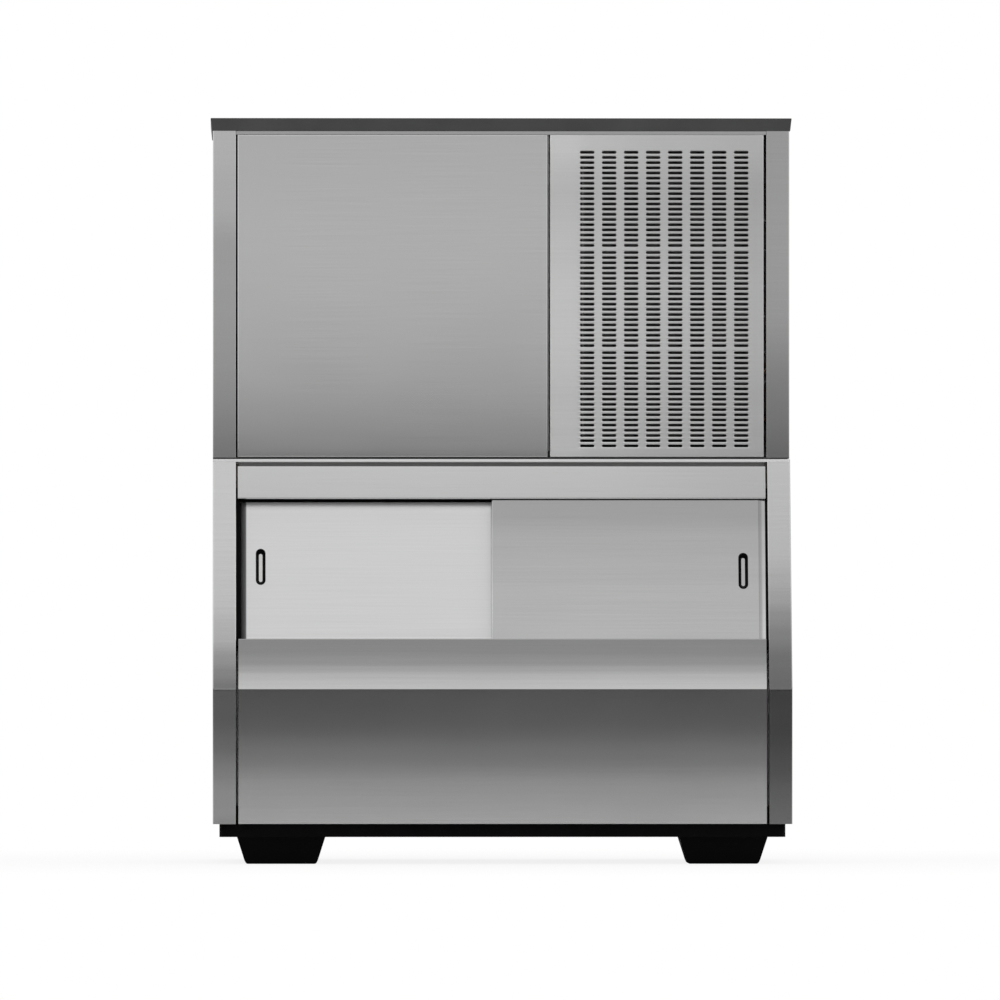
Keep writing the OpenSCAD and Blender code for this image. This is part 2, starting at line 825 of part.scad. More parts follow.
module compressor() {
    seam_h = 12;
    seam_lap = 3;
    foot_t = 6;
    foot_lap = 24;
    foot_corner = 16;
    low_r = 30;
    high_r = 50;
    terminal_d = 18;
    foot_w = 2 * (mount_step + foot_lap);
    color([0.16, 0.16, 0.17]) {
        translate([comp_x, comp_y, comp_z + foot_t]) rotate_extrude() polygon(concat([[0, 0]],
            [for (a = [-90:15:0]) [comp_r - low_r + low_r * cos(a), low_r + low_r * sin(a)]],
            [for (a = [0:10:90]) [comp_r - high_r + high_r * cos(a), comp_h - high_r + high_r * sin(a)]],
            [[0, comp_h]]));
        translate([comp_x, comp_y, comp_z + comp_h / 2]) cylinder(h = seam_h, r = comp_r + seam_lap);
        translate([comp_x, comp_y, comp_z]) linear_extrude(foot_t)
            round_rect(foot_w, foot_w, foot_corner);
        rod_x(comp_x + comp_r - stub_root, comp_x + comp_r + stub, comp_y, comp_line_z, line_r + cut);
        rod_x(comp_x - comp_r - stub, comp_x - comp_r + stub_root, comp_y, comp_line_z,
            suction_r + cut);
        rod_y(comp_y - comp_r - stub, comp_y - comp_r + stub_root, comp_x, gas_z, line_r + cut);
        block([comp_x - terminal_w / 2, comp_y - comp_r - terminal_d, comp_z + terminal_z0],
            [comp_x + terminal_w / 2, comp_y - comp_r + low_r, comp_z + terminal_z0 + terminal_h]);
    }
}

// Four rubber mounts, each with a waist
module compressor_mounts() {
    mount_r = 15;
    waist_r = 11;
    lip = 6;
    slant = 3;
    waist = 5;
    tall = comp_z - z_floor - 2 * fit;
    color([0.1, 0.1, 0.1]) for (x = [-1, 1], y = [-1, 1])
        translate([comp_x + x * mount_step, comp_y + y * mount_step, z_floor + fit]) rotate_extrude()
            polygon([[0, 0], [mount_r, 0], [mount_r, lip], [waist_r, lip + slant],
                [waist_r, lip + slant + waist], [mount_r, lip + 2 * slant + waist], [mount_r, tall],
                [0, tall]]);
}

module condenser() {
    fins = floor((cond_x1 - cond_x0) / fin_pitch);
    color([0.55, 0.56, 0.57]) {
        for (i = [1:fins - 1])
            block([cond_x0 + i * fin_pitch - fin_t / 2, cond_y0, cond_z0],
                [cond_x0 + i * fin_pitch + fin_t / 2, cond_y1, cond_z1]);
        for (x = [cond_x0 - sheet_end, cond_x1])
            block([x, cond_y0, z_floor + fit], [x + sheet_end, shroud_y + side_lap, cond_z1]);
        for (r = [0:cond_rows - 1]) {
            end = r == 0 || r == cond_rows - 1 ? cond_port_x : cond_x1 + sheet_end;
            rod_x(cond_x0 - sheet_end, end, cond_mid_y, cond_out_z + r * cond_row_step, cond_tube_r);
        }
        for (r = [0:cond_rows - 2])
            translate([r % 2 == 0 ? cond_x0 - sheet_end : cond_x1 + sheet_end, cond_mid_y,
                cond_out_z + (r + 0.5) * cond_row_step]) rotate([90, r % 2 == 0 ? 90 : -90, 0])
                    rotate([0, 0, 180]) rotate_extrude(angle = 180)
                        translate([cond_row_step / 2, 0]) circle(r = cond_tube_r);
    }
}

// A plate behind the condenser with a ring round the fan, and four arms that carry the motor's ring
module fan_shroud() {
    ring_t = 2;
    ring_l = fan_hub_l + 14;
    arm_w = 14;
    arm_t = 6;
    post_r = 5;
    clamp_t = 10;
    post_at = fan_r + fan_gap + ring_t + post_r + cut;
    arm_y = motor_front + fan_lead;
    color([0.2, 0.2, 0.21]) {
        facing(shroud_y + sheet, sheet) difference() {
            translate([cond_x0 + fit, cond_z0]) square([cond_x1 - cond_x0 - 2 * fit, cond_height]);
            translate([fan_x, fan_z]) circle(r = fan_r + fan_gap);
        }
        translate([fan_x, shroud_y, fan_z]) rotate([-90, 0, 0]) difference() {
            cylinder(h = ring_l, r = fan_r + fan_gap + ring_t);
            translate([0, 0, -cut]) cylinder(h = ring_l + 2 * cut, r = fan_r + fan_gap);
        }
        for (a = [45:90:315]) translate([fan_x, 0, fan_z]) rotate([0, a, 0]) {
            rod_y(shroud_y, arm_y + arm_t, post_at, 0, post_r);
            block([motor_r + clamp_t / 2, arm_y, -arm_w / 2], [post_at, arm_y + arm_t, arm_w / 2]);
        }
        translate([fan_x, arm_y, fan_z]) rotate([-90, 0, 0]) difference() {
            cylinder(h = arm_t, r = motor_r + clamp_t);
            translate([0, 0, -cut]) cylinder(h = arm_t + 2 * cut, r = motor_r + fit);
        }
    }
}

module fan_motor() {
    boss_l = 8;
    boss_r = 12;
    cap_l = 6;
    cap_r = 14;
    bore_l = 30;
    color([0.35, 0.36, 0.38]) difference() {
        union() {
            rod_y(motor_front, motor_front + motor_l, fan_x, fan_z, motor_r);
            rod_y(motor_front - boss_l, motor_front, fan_x, fan_z, boss_r);
            rod_y(motor_front + motor_l, motor_front + motor_l + cap_l, fan_x, fan_z, cap_r);
        }
        rod_y(motor_front - boss_l - cut, motor_front + bore_l, fan_x, fan_z,
            fan_shaft_r + running_fit);
    }
}

// One blade seen along the fan's axis: a sickle that sweeps forward towards its tip
module blade_outline() {
    steps = 8;
    root = 4;
    sweep = 14;
    spread_root = 24;
    spread_tip = 20;
    reach = fan_r + root - fan_hub_r + 2;
    function edge(i, side) = let (t = i / steps, r = fan_hub_r - root + t * reach,
        a = sweep * t * t + side * (spread_root + t * (spread_tip - spread_root)))
        [r * cos(a), r * sin(a)];
    polygon(concat([for (i = [0:steps]) edge(i, -1)], [for (i = [steps:-1:0]) edge(i, 1)]));
}

module fan_blade() {
    blade_t = 2;
    blade_w = 84;
    blade_turn = -7;
    shaft_in = 26;
    color([0.75, 0.75, 0.76]) translate([fan_x, fan_front, fan_z]) rotate([-90, 0, 0]) {
        cylinder(h = fan_hub_l, r = fan_hub_r);
        cylinder(h = fan_hub_l + motor_gap + shaft_in, r = fan_shaft_r);
        intersection() {
            translate([0, 0, -fan_hub_l]) cylinder(h = 3 * fan_hub_l, r = fan_r);
            for (i = [0:fan_blades - 1]) rotate([0, 0, i * 360 / fan_blades])
                translate([0, 0, fan_hub_l / 2 + blade_t]) rotate([fan_pitch, 0, 0])
                    rotate([0, 0, blade_turn]) linear_extrude(blade_t) intersection() {
                        blade_outline();
                        translate([0, -blade_w / 2]) square([fan_r + fan_hub_r, blade_w]);
                    }
        }
    }
}

// The control box beside the condenser, with the toggle of its switch between two tube bends
box_gap = 5;
box_rise = 344;
box_w = 67;
box_d = 120;
box_h = 280;
collar_l = 8;
collar_wall = 2.4;
toggle_left = 34;
toggle_back = 5;
toggle_bend = 5.5;
toggle_ball_r = 4.6;
box_y0 = cond_mid_y + cond_tube_r + box_gap;
box_z0 = z_head + box_rise;
toggle_x = bulkhead_x + toggle_left;
toggle_z = cond_out_z + toggle_bend * cond_row_step;
toggle_y = box_y0 - toggle_back;

module control_box() {
    color([0.5, 0.51, 0.53]) difference() {
        union() {
            block([bulkhead_x + sheet / 2 + fit, box_y0, box_z0],
                [bulkhead_x + box_w, box_y0 + box_d, box_z0 + box_h]);
            rod_y(box_y0 - collar_l, box_y0, toggle_x, toggle_z, toggle_ball_r + collar_wall);
        }
        rod_y(box_y0 - collar_l - cut, box_y0 + cut, toggle_x, toggle_z, toggle_ball_r + fit);
    }
}

module toggle_lever() {
    lever_l = 17;
    lever_r = 1.8;
    tip_r = 2.6;
    color([0.85, 0.85, 0.86]) {
        translate([toggle_x, toggle_y, toggle_z]) sphere(r = toggle_ball_r);
        rod_y(toggle_y - lever_l, toggle_y, toggle_x, toggle_z, lever_r);
        translate([toggle_x, toggle_y - lever_l, toggle_z]) sphere(r = tip_r);
    }
}

// The filter drier behind the expansion valve, both on the coil's lower end
drier_left = 28;
drier_gap = 62;
drier_neck = 20;
drier_tail = 10;
drier_cone = 22;
drier_l = 140;
drier_r = 24;
valve_l = 34;
valve_drop = 22;
drier_x = bulkhead_x + drier_left;
drier_y0 = coil_y + drier_gap;
valve_y = coil_y;
valve_x = coil_end_x + fit;

module filter_drier() {
    neck_r = line_r + cut;
    color([0.7, 0.43, 0.28]) translate([drier_x, drier_y0, coil_z0]) rotate([-90, 0, 0]) rotate_extrude()
        polygon([[0, -drier_neck], [neck_r, -drier_neck], [neck_r, 0], [drier_r, drier_cone],
            [drier_r, drier_l - drier_cone], [neck_r, drier_l], [neck_r, drier_l + drier_tail],
            [0, drier_l + drier_tail]]);
}

line_bend = 18;
suction_bend = 20;
gas_bend = 12;

module discharge_line() {
    color([0.72, 0.45, 0.3]) tube_run([
        [comp_x + comp_r + stub + fit, comp_y, comp_line_z],
        [right_run_x, comp_y, comp_line_z],
        [right_run_x, comp_y, cond_in_z],
        [right_run_x, cond_mid_y, cond_in_z],
        [cond_port_x + fit, cond_mid_y, cond_in_z]], line_r, line_bend);
}

module liquid_line() {
    behind = 40;
    back_y = comp_y + comp_r + behind;
    color([0.72, 0.45, 0.3]) tube_run([
        [cond_port_x + fit, cond_mid_y, cond_out_z],
        [right_run_x, cond_mid_y, cond_out_z],
        [right_run_x, back_y, cond_out_z],
        [drier_x, back_y, cond_out_z],
        [drier_x, back_y, coil_z0],
        [drier_x, drier_y0 + drier_l + drier_tail + fit, coil_z0]], line_r, line_bend);
}

module suction_line() {
    across = 89;
    x = bulkhead_x + across;
    color([0.72, 0.45, 0.3]) tube_run([
        [coil_end_x + fit, coil_y, coil_z1],
        [x, coil_y, coil_z1],
        [x, comp_y, coil_z1],
        [x, comp_y, comp_line_z],
        [comp_x - comp_r - stub - fit, comp_y, comp_line_z]], suction_r, suction_bend);
}

// Expansion valve: inlet at its back, hot gas port underneath, power head on top
module expansion_valve() {
    body_r = 12;
    stem_r = 7;
    stem_h = 18;
    head_r = 20;
    head_h = 10;
    port_r = line_r + 2 * cut;
    color([0.75, 0.62, 0.32]) {
        rod_x(valve_x, valve_x + valve_l, valve_y, coil_z0, body_r);
        rod_z(coil_z0, coil_z0 + stem_h, drier_x, valve_y, stem_r);
        rod_z(coil_z0 + stem_h, coil_z0 + stem_h + head_h, drier_x, valve_y, head_r);
        rod_y(valve_y, drier_y0 - drier_neck - fit, drier_x, coil_z0, port_r);
        rod_z(coil_z0 - valve_drop, coil_z0, drier_x, valve_y, port_r);
    }
}

// The hot gas valve beside the bulkhead, at the height of the compressor's hot gas stub
gas_lead = 31;
gas_step = 16;
gas_y = coil_y - gas_lead;
gas_x0 = drier_x + gas_step;

module hot_gas_valve() {
    body_r = 12;
    stem_r = 6;
    stem_h = 54;
    magnet_w = 32;
    magnet_z = 16;
    color([0.6, 0.5, 0.28]) {
        rod_x(gas_x0, gas_x0 + valve_l, gas_y, gas_z, body_r);
        block([gas_x0 - cut, gas_y - magnet_w / 2, gas_z + magnet_z],
            [gas_x0 + valve_l + cut, gas_y + magnet_w / 2, gas_z + magnet_z + magnet_w]);
        rod_z(gas_z, gas_z + stem_h, gas_x0 + valve_l / 2, gas_y, stem_r);
    }
}

module hot_gas_line() {
    port_z = coil_z0 - valve_drop;
    turn_z = port_z - 2 * gas_bend - 4 * cut;
    color([0.72, 0.45, 0.3]) {
        tube_run([
            [comp_x, comp_y - comp_r - stub - fit, gas_z],
            [comp_x, gas_y, gas_z],
            [gas_x0 + valve_l + fit, gas_y, gas_z]], line_r, gas_bend);
        tube_run([
            [gas_x0 - fit, gas_y, gas_z],
            [drier_x, gas_y, gas_z],
            [drier_x, gas_y, turn_z],
            [drier_x, valve_y, turn_z],
            [drier_x, valve_y, port_z - fit]], line_r, gas_bend);
    }
}

// Fittings at the back

// A threaded fitting through a back panel: a flange outside, a nut inside, a stepped way through
module through_fitting(x, z, body_r, flange_r, hole_r, thread, y_in, nut_t) {
    difference() {
        union() {
            rod_y(y_in, y_rear + rear_clear, x, z, body_r);
            rod_y(y_rear + fit / 2, y_rear + rear_clear, x, z, flange_r);
            if (nut_t > 0) rod_y(flange_y - fit / 2 - nut_t, flange_y - fit / 2, x, z, flange_r);
        }
        rod_y(y_rear + rear_clear - thread, y_rear + rear_clear + cut, x, z, hole_r);
        rod_y(y_in - cut, y_rear, x, z, hole_r * bore_share);
    }
}

// Share of a threaded hole's radius that goes on behind it, and how deep the fittings reach
bore_share = 0.7;
drain_reach = 40;
inlet_reach = 32;

module head_drain() {
    color([0.75, 0.6, 0.35]) through_fitting(drain_x, fitting_z, fitting_r, fitting_flange_r,
        drain_hole_r, drain_thread, y_rear - drain_reach, fitting_nut);
}

// The inlet valve's body: its front, its outlet's height over the inlet and place behind the front
inlet_body_d = 38;
inlet_outlet_h = 34;
inlet_outlet_d = 20;
inlet_y0 = y_rear - inlet_reach - inlet_body_d;

module water_inlet_valve() {
    flange_lap = 5;
    body_w = 32;
    body_low = 14;
    body_high = 20;
    coil_l = 30;
    coil_r = 13;
    outlet_r = 8;
    inner_end = y_rear - inlet_reach;
    color([0.85, 0.85, 0.86]) {
        through_fitting(inlet_x, fitting_z, inlet_body_r, inlet_body_r + flange_lap, inlet_hole_r,
            inlet_thread, inner_end, fitting_nut);
        block([inlet_x - body_w / 2, inlet_y0, fitting_z - body_low],
            [inlet_x + body_w / 2, inner_end + cut, fitting_z + body_high]);
        rod_y(inlet_y0 - coil_l, inlet_y0 + cut, inlet_x, fitting_z, coil_r);
        rod_z(fitting_z + body_low, fitting_z + inlet_outlet_h, inlet_x, inlet_y0 + inlet_outlet_d,
            outlet_r);
    }
}

// Hoses from the pump to the distribution tube, from the inlet valve to the trough, and to the drain
module water_hoses() {
    fill_rise = 40;
    fill_in = 28;
    fill_r = 6;
    fill_bend = 16;
    drain_rise = 20;
    drain_run = 70;
    drain_r = 12;
    drain_bend = 24;
    riser_bend = 22;
    fill_y = inlet_y0 + inlet_outlet_d;
    fill_z = trough_top + fill_rise;
    trough_back = trough_y + trough_d;
    drain_z = trough_z + drain_rise;
    drain_y = trough_back + drain_run;
    color([0.85, 0.87, 0.86]) {
        tube_run([
            [riser_x, pump_y, riser_top + fit],
            [riser_x, pump_y, spray_z],
            [riser_x, spray_y, spray_z],
            [evap_x0 - fit, spray_y, spray_z]], riser_r + cut / 2, riser_bend);
        tube_run([
            [inlet_x, fill_y, fitting_z + inlet_outlet_h + fit],
            [inlet_x, fill_y, fill_z],
            [inlet_x, trough_back - fill_in, fill_z],
            [inlet_x, trough_back - fill_in, trough_z + fill_rise]], fill_r, fill_bend);
        tube_run([
            [drain_x, trough_back + fit, drain_z],
            [drain_x, drain_y, drain_z],
            [drain_x, drain_y, fitting_z],
            [drain_x, y_rear - drain_reach - fit, fitting_z]], drain_r, drain_bend);
    }
}

module power_bushing() {
    inside = 6;
    outer_lap = 4;
    inner_lap = 2;
    y0 = flange_y - inside;
    y1 = y_rear + rear_clear;
    color([0.08, 0.08, 0.08]) difference() {
        union() {
            rod_y(y0, y1, power_x, fitting_z, power_body_r);
            rod_y(y_rear + fit / 2, y1, power_x, fitting_z, power_body_r + outer_lap);
            rod_y(y0, flange_y - fit / 2, power_x, fitting_z, power_body_r + inner_lap);
        }
        rod_y(y0 - cut, y1 + cut, power_x, fitting_z, power_hole_r);
    }
}

// Pan-head screws that hold the two back panels, each with a cross recess
module rear_screws() {
    recess_l = 4.6;
    recess_w = 0.9;
    recess_d = 1.1;
    tip_y = wall_y + fit / 3;
    color([0.6, 0.6, 0.6]) for (s = [-1, 1], z = concat(head_screw_z, bin_screw_z))
        translate([s * screw_x, 0, z]) difference() {
            union() {
                rod_y(y_rear, y_rear + rear_clear, 0, 0, screw_head_r);
                rod_y(tip_y, y_rear + cut, 0, 0, screw_r);
            }
            for (a = [0, 90]) rotate([0, a, 0])
                block([-recess_l / 2, y_rear + rear_clear - recess_d, -recess_w / 2],
                    [recess_l / 2, y_rear + rear_clear + cut, recess_w / 2]);
        }
}

// Storage bin casing

module front_strip(x0, x1, d0, d1) {
    along_x(x0, x1) polygon(concat(front_line(d0, z_lip), reversed(front_line(d1, z_lip))));
}

// The right-hand side panel of the bin with its post; the left one is its mirror image
module bin_side() {
    color([0.66, 0.66, 0.67]) difference() {
        union() {
            along_x(inner, half)
                polygon(concat(front_line(0, z_lip), [[flange_y, z_lip], [flange_y, z_bin + fit]]));
            front_strip(half - post_w, half, 0, sheet);
            front_strip(half - post_w, half - post_w + sheet, 0, post_return);
            block([inner - rear_flange, flange_y - sheet, z_bin + fit], [half, flange_y, z_lip]);
        }
        rear_screw_holes(bin_screw_z);
    }
}

module bin_left_side() {
    mirror([1, 0, 0]) bin_side();
}

module bin_right_side() {
    bin_side();
}

foam_z = z_bin + fit;
foam_x = inner - fit - foam_t;
liner_z = foam_z + foam_t + fit;
liner_x = foam_x - 2 * fit;
liner_y = wall_y - foam_t - 2 * fit;
drain_flange_r = 24;
drain_flange_t = 2;
bin_drain_z = liner_z + liner_t + drain_flange_r + drain_flange_t;

module bin_back() {
    color([0.6, 0.6, 0.61]) difference() {
        facing(y_rear, sheet) difference() {
            translate([-half, z_bin + fit]) square([width, z_lip - z_bin - fit]);
            translate([0, bin_drain_z]) circle(r = fitting_r + fit);
        }
        rear_screw_holes(bin_screw_z);
    }
}

// Gap between a folded edge at the crease and the crease itself
crease_gap = 2;

// Lower front panel, folded in along its top and bottom
module lower_front() {
    top = z_crease - bin_return * tan(slope_angle / 2) - crease_gap;
    color([0.5, 0.5, 0.5]) {
        block([-panel_x, y_front, z_bin + fit], [panel_x, y_front + sheet, top]);
        block([-panel_x, y_front, top - sheet], [panel_x, y_front + bin_return, top]);
        block([-panel_x, y_front, z_bin + fit], [panel_x, y_front + bin_return, z_bin + fit + sheet]);
    }
}

v_sill = up(z_sill);
v_header = up(z_header);
v_groove = up(z_groove);

// A sheet on the slope from v0 to v1, folded in along its lower and upper edges
module slope_sheet(v0, v1, fold0, fold1) {
    on_slope() {
        block([-panel_x, 0, v0], [panel_x, sheet, v1]);
        block([-panel_x, 0, v0], [panel_x, fold0, v0 + sheet]);
        block([-panel_x, 0, v1 - sheet], [panel_x, fold1, v1]);
    }
}

module slope_band() {
    color([0.62, 0.62, 0.62]) slope_sheet(crease_gap, v_sill, bin_return, track_setback - fit);
}

module door_header() {
    color([0.74, 0.74, 0.74]) slope_sheet(v_header, v_groove, track_setback - fit, bin_return);
}

// Tracks: three webs round two channels, one for each door
track_w = 3 * web_t + 2 * channel_w;
track_x = half - post_w - fit;
web_d = [for (i = [0:2]) track_setback + i * (channel_w + web_t)];
lift_room = 8;
upper_floor = v_header + door_grip + lift_room;
lower_floor = v_sill - track_depth;
web_drop = 0.5;

module upper_track() {
    color([0.07, 0.07, 0.07]) on_slope() {
        block([-track_x, track_setback, upper_floor],
            [track_x, track_setback + track_w, upper_floor + web_t]);
        for (i = [0:2])
            block([-track_x, web_d[i], v_header + (i == 0 ? fit : -web_drop)],
                [track_x, web_d[i] + web_t, upper_floor + web_t]);
    }
}

module lower_track() {
    color([0.1, 0.1, 0.1]) on_slope() {
        block([-track_x, track_setback, lower_floor],
            [track_x, track_setback + track_w, lower_floor + web_t]);
        for (d = web_d) block([-track_x, d, lower_floor], [track_x, d + web_t, v_sill - sheet - fit]);
    }
}

// Inner top corner of the front wall, where the foam meets the top frame
foam_top = v_groove - sheet - fit;

module insulation() {
    d0 = sheet + fit;
    front_x = panel_x - sheet - fit;
    z_mitre_in = z_crease - front_wall * tan(slope_angle / 2);
    back_y = wall_y - foam_t;
    color([0.93, 0.89, 0.72]) difference() {
        union() {
            for (s = [-1, 1]) along_x(s < 0 ? -inner + fit : foam_x, s < 0 ? -foam_x : inner - fit)
                polygon(concat(front_line(d0, z_lip - fit), [[wall_y, z_lip - fit], [wall_y, foam_z]]));
            block([-foam_x + fit, back_y, foam_z], [foam_x - fit, wall_y, z_lip - fit]);
            block([-foam_x + fit, y_front + front_wall + fit, foam_z],
                [foam_x - fit, back_y - fit, foam_z + foam_t]);
            along_x(-front_x, front_x)
                polygon([[y_front + d0, foam_z + sheet + fit],
                    [y_front + front_wall, foam_z + sheet + fit],
                [y_front + front_wall, z_mitre_in - bin_return],
                    [y_front + d0, z_mitre_in - bin_return]]);
            on_slope() block([-front_x, d0, bin_return], [front_x, front_wall, lower_floor - fit]);
            on_slope() block([-front_x, d0, upper_floor + web_t + fit], [front_x, front_wall, foam_top]);
        }
        rod_y(back_y - cut, wall_y + cut, 0, bin_drain_z, fitting_r + fit);
    }
}

module bin_liner() {
    d0 = front_wall + fit;
    d1 = d0 + liner_t;
    z1 = z_lip - fit;
    opening_inset = 12;
    door_x = track_x - opening_inset;
    color([0.9, 0.91, 0.92]) difference() {
        along_x(-liner_x, liner_x) polygon([[y_front + d0, liner_z],
            [y_front + d0, z_crease - d0 * tan(slope_angle / 2)],
                [slope_y(z1) + d0 / cos(slope_angle), z1],
            [liner_y, z1], [liner_y, liner_z]]);
        along_x(-liner_x + liner_t, liner_x - liner_t) polygon([[y_front + d1, liner_z + liner_t],
            [y_front + d1, z_crease - d1 * tan(slope_angle / 2)],
            [slope_y(z1 + cut) + d1 / cos(slope_angle), z1 + cut],
            [liner_y - liner_t, z1 + cut], [liner_y - liner_t, liner_z + liner_t]]);
        on_slope() block([-door_x, track_setback, v_sill], [door_x, d1 + 4 * cut, v_header - web_drop]);
        rod_y(liner_y - liner_t - cut, liner_y + cut, 0, bin_drain_z, fitting_r + fit);
    }
}

// Top frame of the bin: a plate with the ice opening, and a skirt that closes the groove
frame_side = 70;
frame_front = 50;
frame_rear = 68;
frame_x = half - frame_side;
frame_y0 = head_y + frame_front;
frame_y1 = y_rear - frame_rear;

module top_frame() {
    skirt_gap = 4;
    skirt_lap = 2;
    y0 = slope_y(z_lip);
    skirt_y = y0 + bin_return + skirt_gap;
    color([0.78, 0.78, 0.78]) {
        difference() {
            block([-half, y0, z_lip], [half, y_rear, z_bin_top]);
            block([-frame_x, frame_y0, z_lip - cut], [frame_x, frame_y1, z_bin_top + cut]);
        }
        block([-panel_x, skirt_y, z_groove - skirt_lap], [panel_x, skirt_y + sheet, z_lip]);
    }
}

module top_gasket() {
    seat = 10;
    color([0.12, 0.12, 0.12]) difference() {
        block([-half + seat, head_y + seat, z_bin_top], [half - seat, y_rear - seat, z_head]);
        block([-frame_x - seat, frame_y0 - seat, z_bin_top - cut],
            [frame_x + seat, frame_y1 + seat, z_head + cut]);
    }
}

// Doors, in slope coordinates. The right door runs in the front channel, the left door in the rear one.
door_x = half - post_w - door_side_gap;
door_w = door_x + door_overlap / 2;
glide_h = 2;
door_v0 = lower_floor + web_t + glide_h;
door_v1 = v_header + door_grip;
front_door_d = web_d[0] + web_t + (channel_w - door_t) / 2;
rear_door_d = web_d[1] + web_t + (channel_w - door_t) / 2;
pull_x = door_x - pull_inset;

// How far a pull's rim laps over its pocket, the thickness of its walls, and a seating overlap
rim_lap = 1;
pull_wall = 2;
seat = 0.01;

// A door whose slanted outer edge lies at door_x; the left one is its mirror image
module door(d, pull_rise) {
    on_slope() difference() {
        translate([0, 0, door_v0]) linear_extrude(door_v1 - door_v0) polygon([
            [door_x - door_w, d], [door_x - bevel_w, d], [door_x, d + bevel_d],
            [door_x, d + door_t], [door_x - door_w, d + door_t]]);
        translate([pull_x, 0, v_sill + pull_rise]) facing(d + pull_depth, pull_depth + cut)
            slot_upright(pull_w - 2 * rim_lap, pull_h - 2 * rim_lap);
    }
}

module left_door() {
    color([0.8, 0.8, 0.8]) mirror([1, 0, 0]) door(rear_door_d, left_pull_rise);
}

module right_door() {
    color([0.66, 0.66, 0.66]) door(front_door_d, right_pull_rise);
}

// The space inside a pull: it widens from the open floor at depth d to the given width at its mouth
module tapered_slot(d, depth, mouth) {
    centre = (pull_floor_h - pull_floor_w) / 2;
    for (s = [-1, 1]) translate([0, d, s * centre]) rotate([90, 0, 0])
        cylinder(h = depth, r1 = pull_floor_w / 2, r2 = mouth / 2);
    translate([0, 0, -centre]) linear_extrude(2 * centre) polygon([
        [-pull_floor_w / 2, d], [pull_floor_w / 2, d], [mouth / 2, d - depth], [-mouth / 2, d - depth]]);
}

// A finger pull: a rim and sloped walls round an open floor, seated in the door's pocket
module pull(d, rise) {
    play = 2 * (rim_lap + fit);
    on_slope() translate([pull_x, 0, v_sill + rise]) difference() {
        union() {
            facing(d - seat, rim_proud) slot_upright(pull_w, pull_h);
            facing(d + pull_depth - fit, pull_depth - fit + seat)
                slot_upright(pull_w - play, pull_h - play);
        }
        tapered_slot(d + pull_depth, pull_depth + rim_proud + cut, pull_w - 2 * pull_wall);
    }
}

module left_pull() {
    color([0.05, 0.05, 0.05]) mirror([1, 0, 0]) pull(rear_door_d, left_pull_rise);
}

module right_pull() {
    color([0.05, 0.05, 0.05]) pull(front_door_d, right_pull_rise);
}

// Two glides under a door, set in from its edges
module glides(d) {
    inset = 60;
    length = 40;
    narrow = 1;
    on_slope() for (x = [door_x - inset - length, door_x - door_w + inset])
        block([x, d + narrow, lower_floor + web_t + fit],
            [x + length, d + door_t - narrow, door_v0 - fit / 2]);
}

module door_glides_left() {
    color([0.95, 0.95, 0.93]) mirror([1, 0, 0]) glides(rear_door_d);
}

module door_glides_right() {
    color([0.95, 0.95, 0.93]) glides(front_door_d);
}

// Jambs that close the gaps between the doors and the posts
module door_jambs() {
    behind = 2;
    color([0.06, 0.06, 0.06]) on_slope() for (s = [0, 1]) mirror([s, 0, 0])
        block([door_x + fit, front_door_d + behind, v_sill],
            [track_x, track_setback + track_w, v_header - web_drop - fit]);
}

module bin_drain() {
    inside = liner_y - liner_t;
    color([0.75, 0.6, 0.35]) {
        through_fitting(0, bin_drain_z, fitting_r, fitting_flange_r, drain_hole_r, drain_thread,
            inside - drain_flange_t, 0);
        difference() {
            rod_y(inside - drain_flange_t - fit, inside - fit, 0, bin_drain_z, drain_flange_r);
            rod_y(inside - drain_flange_t - cut, inside + cut, 0, bin_drain_z, fitting_r - cut);
        }
    }
}

// Base and feet

// A tapered foot with a small bevelled toe at the floor
module foot(x, y, top_w) {
    toe = 3;
    toe_low = 2;
    toe_high = 8;
    top = top_w / 2;
    low = (top_w - foot_taper) / 2;
    depth = foot_top_d / 2;
    translate([x, y, 0]) intersection() {
        rotate([90, 0, 0]) translate([0, 0, -depth]) linear_extrude(foot_top_d) polygon([
            [-top, foot_height], [-low - toe, toe_high], [-low, toe_low], [-low + toe, 0],
            [low - toe, 0], [low, toe_low], [low + toe, toe_high], [top, foot_height]]);
        along_x(-top, top) polygon([[-depth, foot_height], [-depth + top - low, 0],
            [depth - top + low, 0], [depth, foot_height]]);
    }
}

module base() {
    corner_r = 14;
    color([0.05, 0.05, 0.05]) translate([0, 0, foot_height]) linear_extrude(base_height)
        round_rect(2 * (half - base_inset), bin_depth - 2 * base_inset, corner_r);
}

module feet() {
    color([0.05, 0.05, 0.05]) for (s = [-1, 1]) {
        foot(s * foot_x, -foot_y, foot_top_w);
        foot(s * foot_x, foot_y, rear_foot_w);
    }
}

head_base();
head_left_side();
head_right_side();
head_back();
lid();
top_rail();
front_panel();
louvre_panel();
bulkhead();
evaporator_grid();
evaporator_coil();
evaporator_frame();
water_curtain();
water_trough();
pump_housing();
pump_rotor();
distribution_tube();
water_hoses();
level_probe();
compressor();
compressor_mounts();
condenser();
fan_shroud();
fan_motor();
fan_blade();
control_box();
toggle_lever();
filter_drier();
discharge_line();
liquid_line();
suction_line();
expansion_valve();
hot_gas_valve();
hot_gas_line();
water_inlet_valve();
head_drain();
power_bushing();
rear_screws();
bin_left_side();
bin_right_side();
bin_back();
lower_front();
slope_band();
door_header();
top_frame();
top_gasket();
insulation();
bin_liner();
upper_track();
lower_track();
left_door();
right_door();
left_pull();
right_pull();
door_glides_left();
door_glides_right();
door_jambs();
bin_drain();
base();
feet();
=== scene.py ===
import math

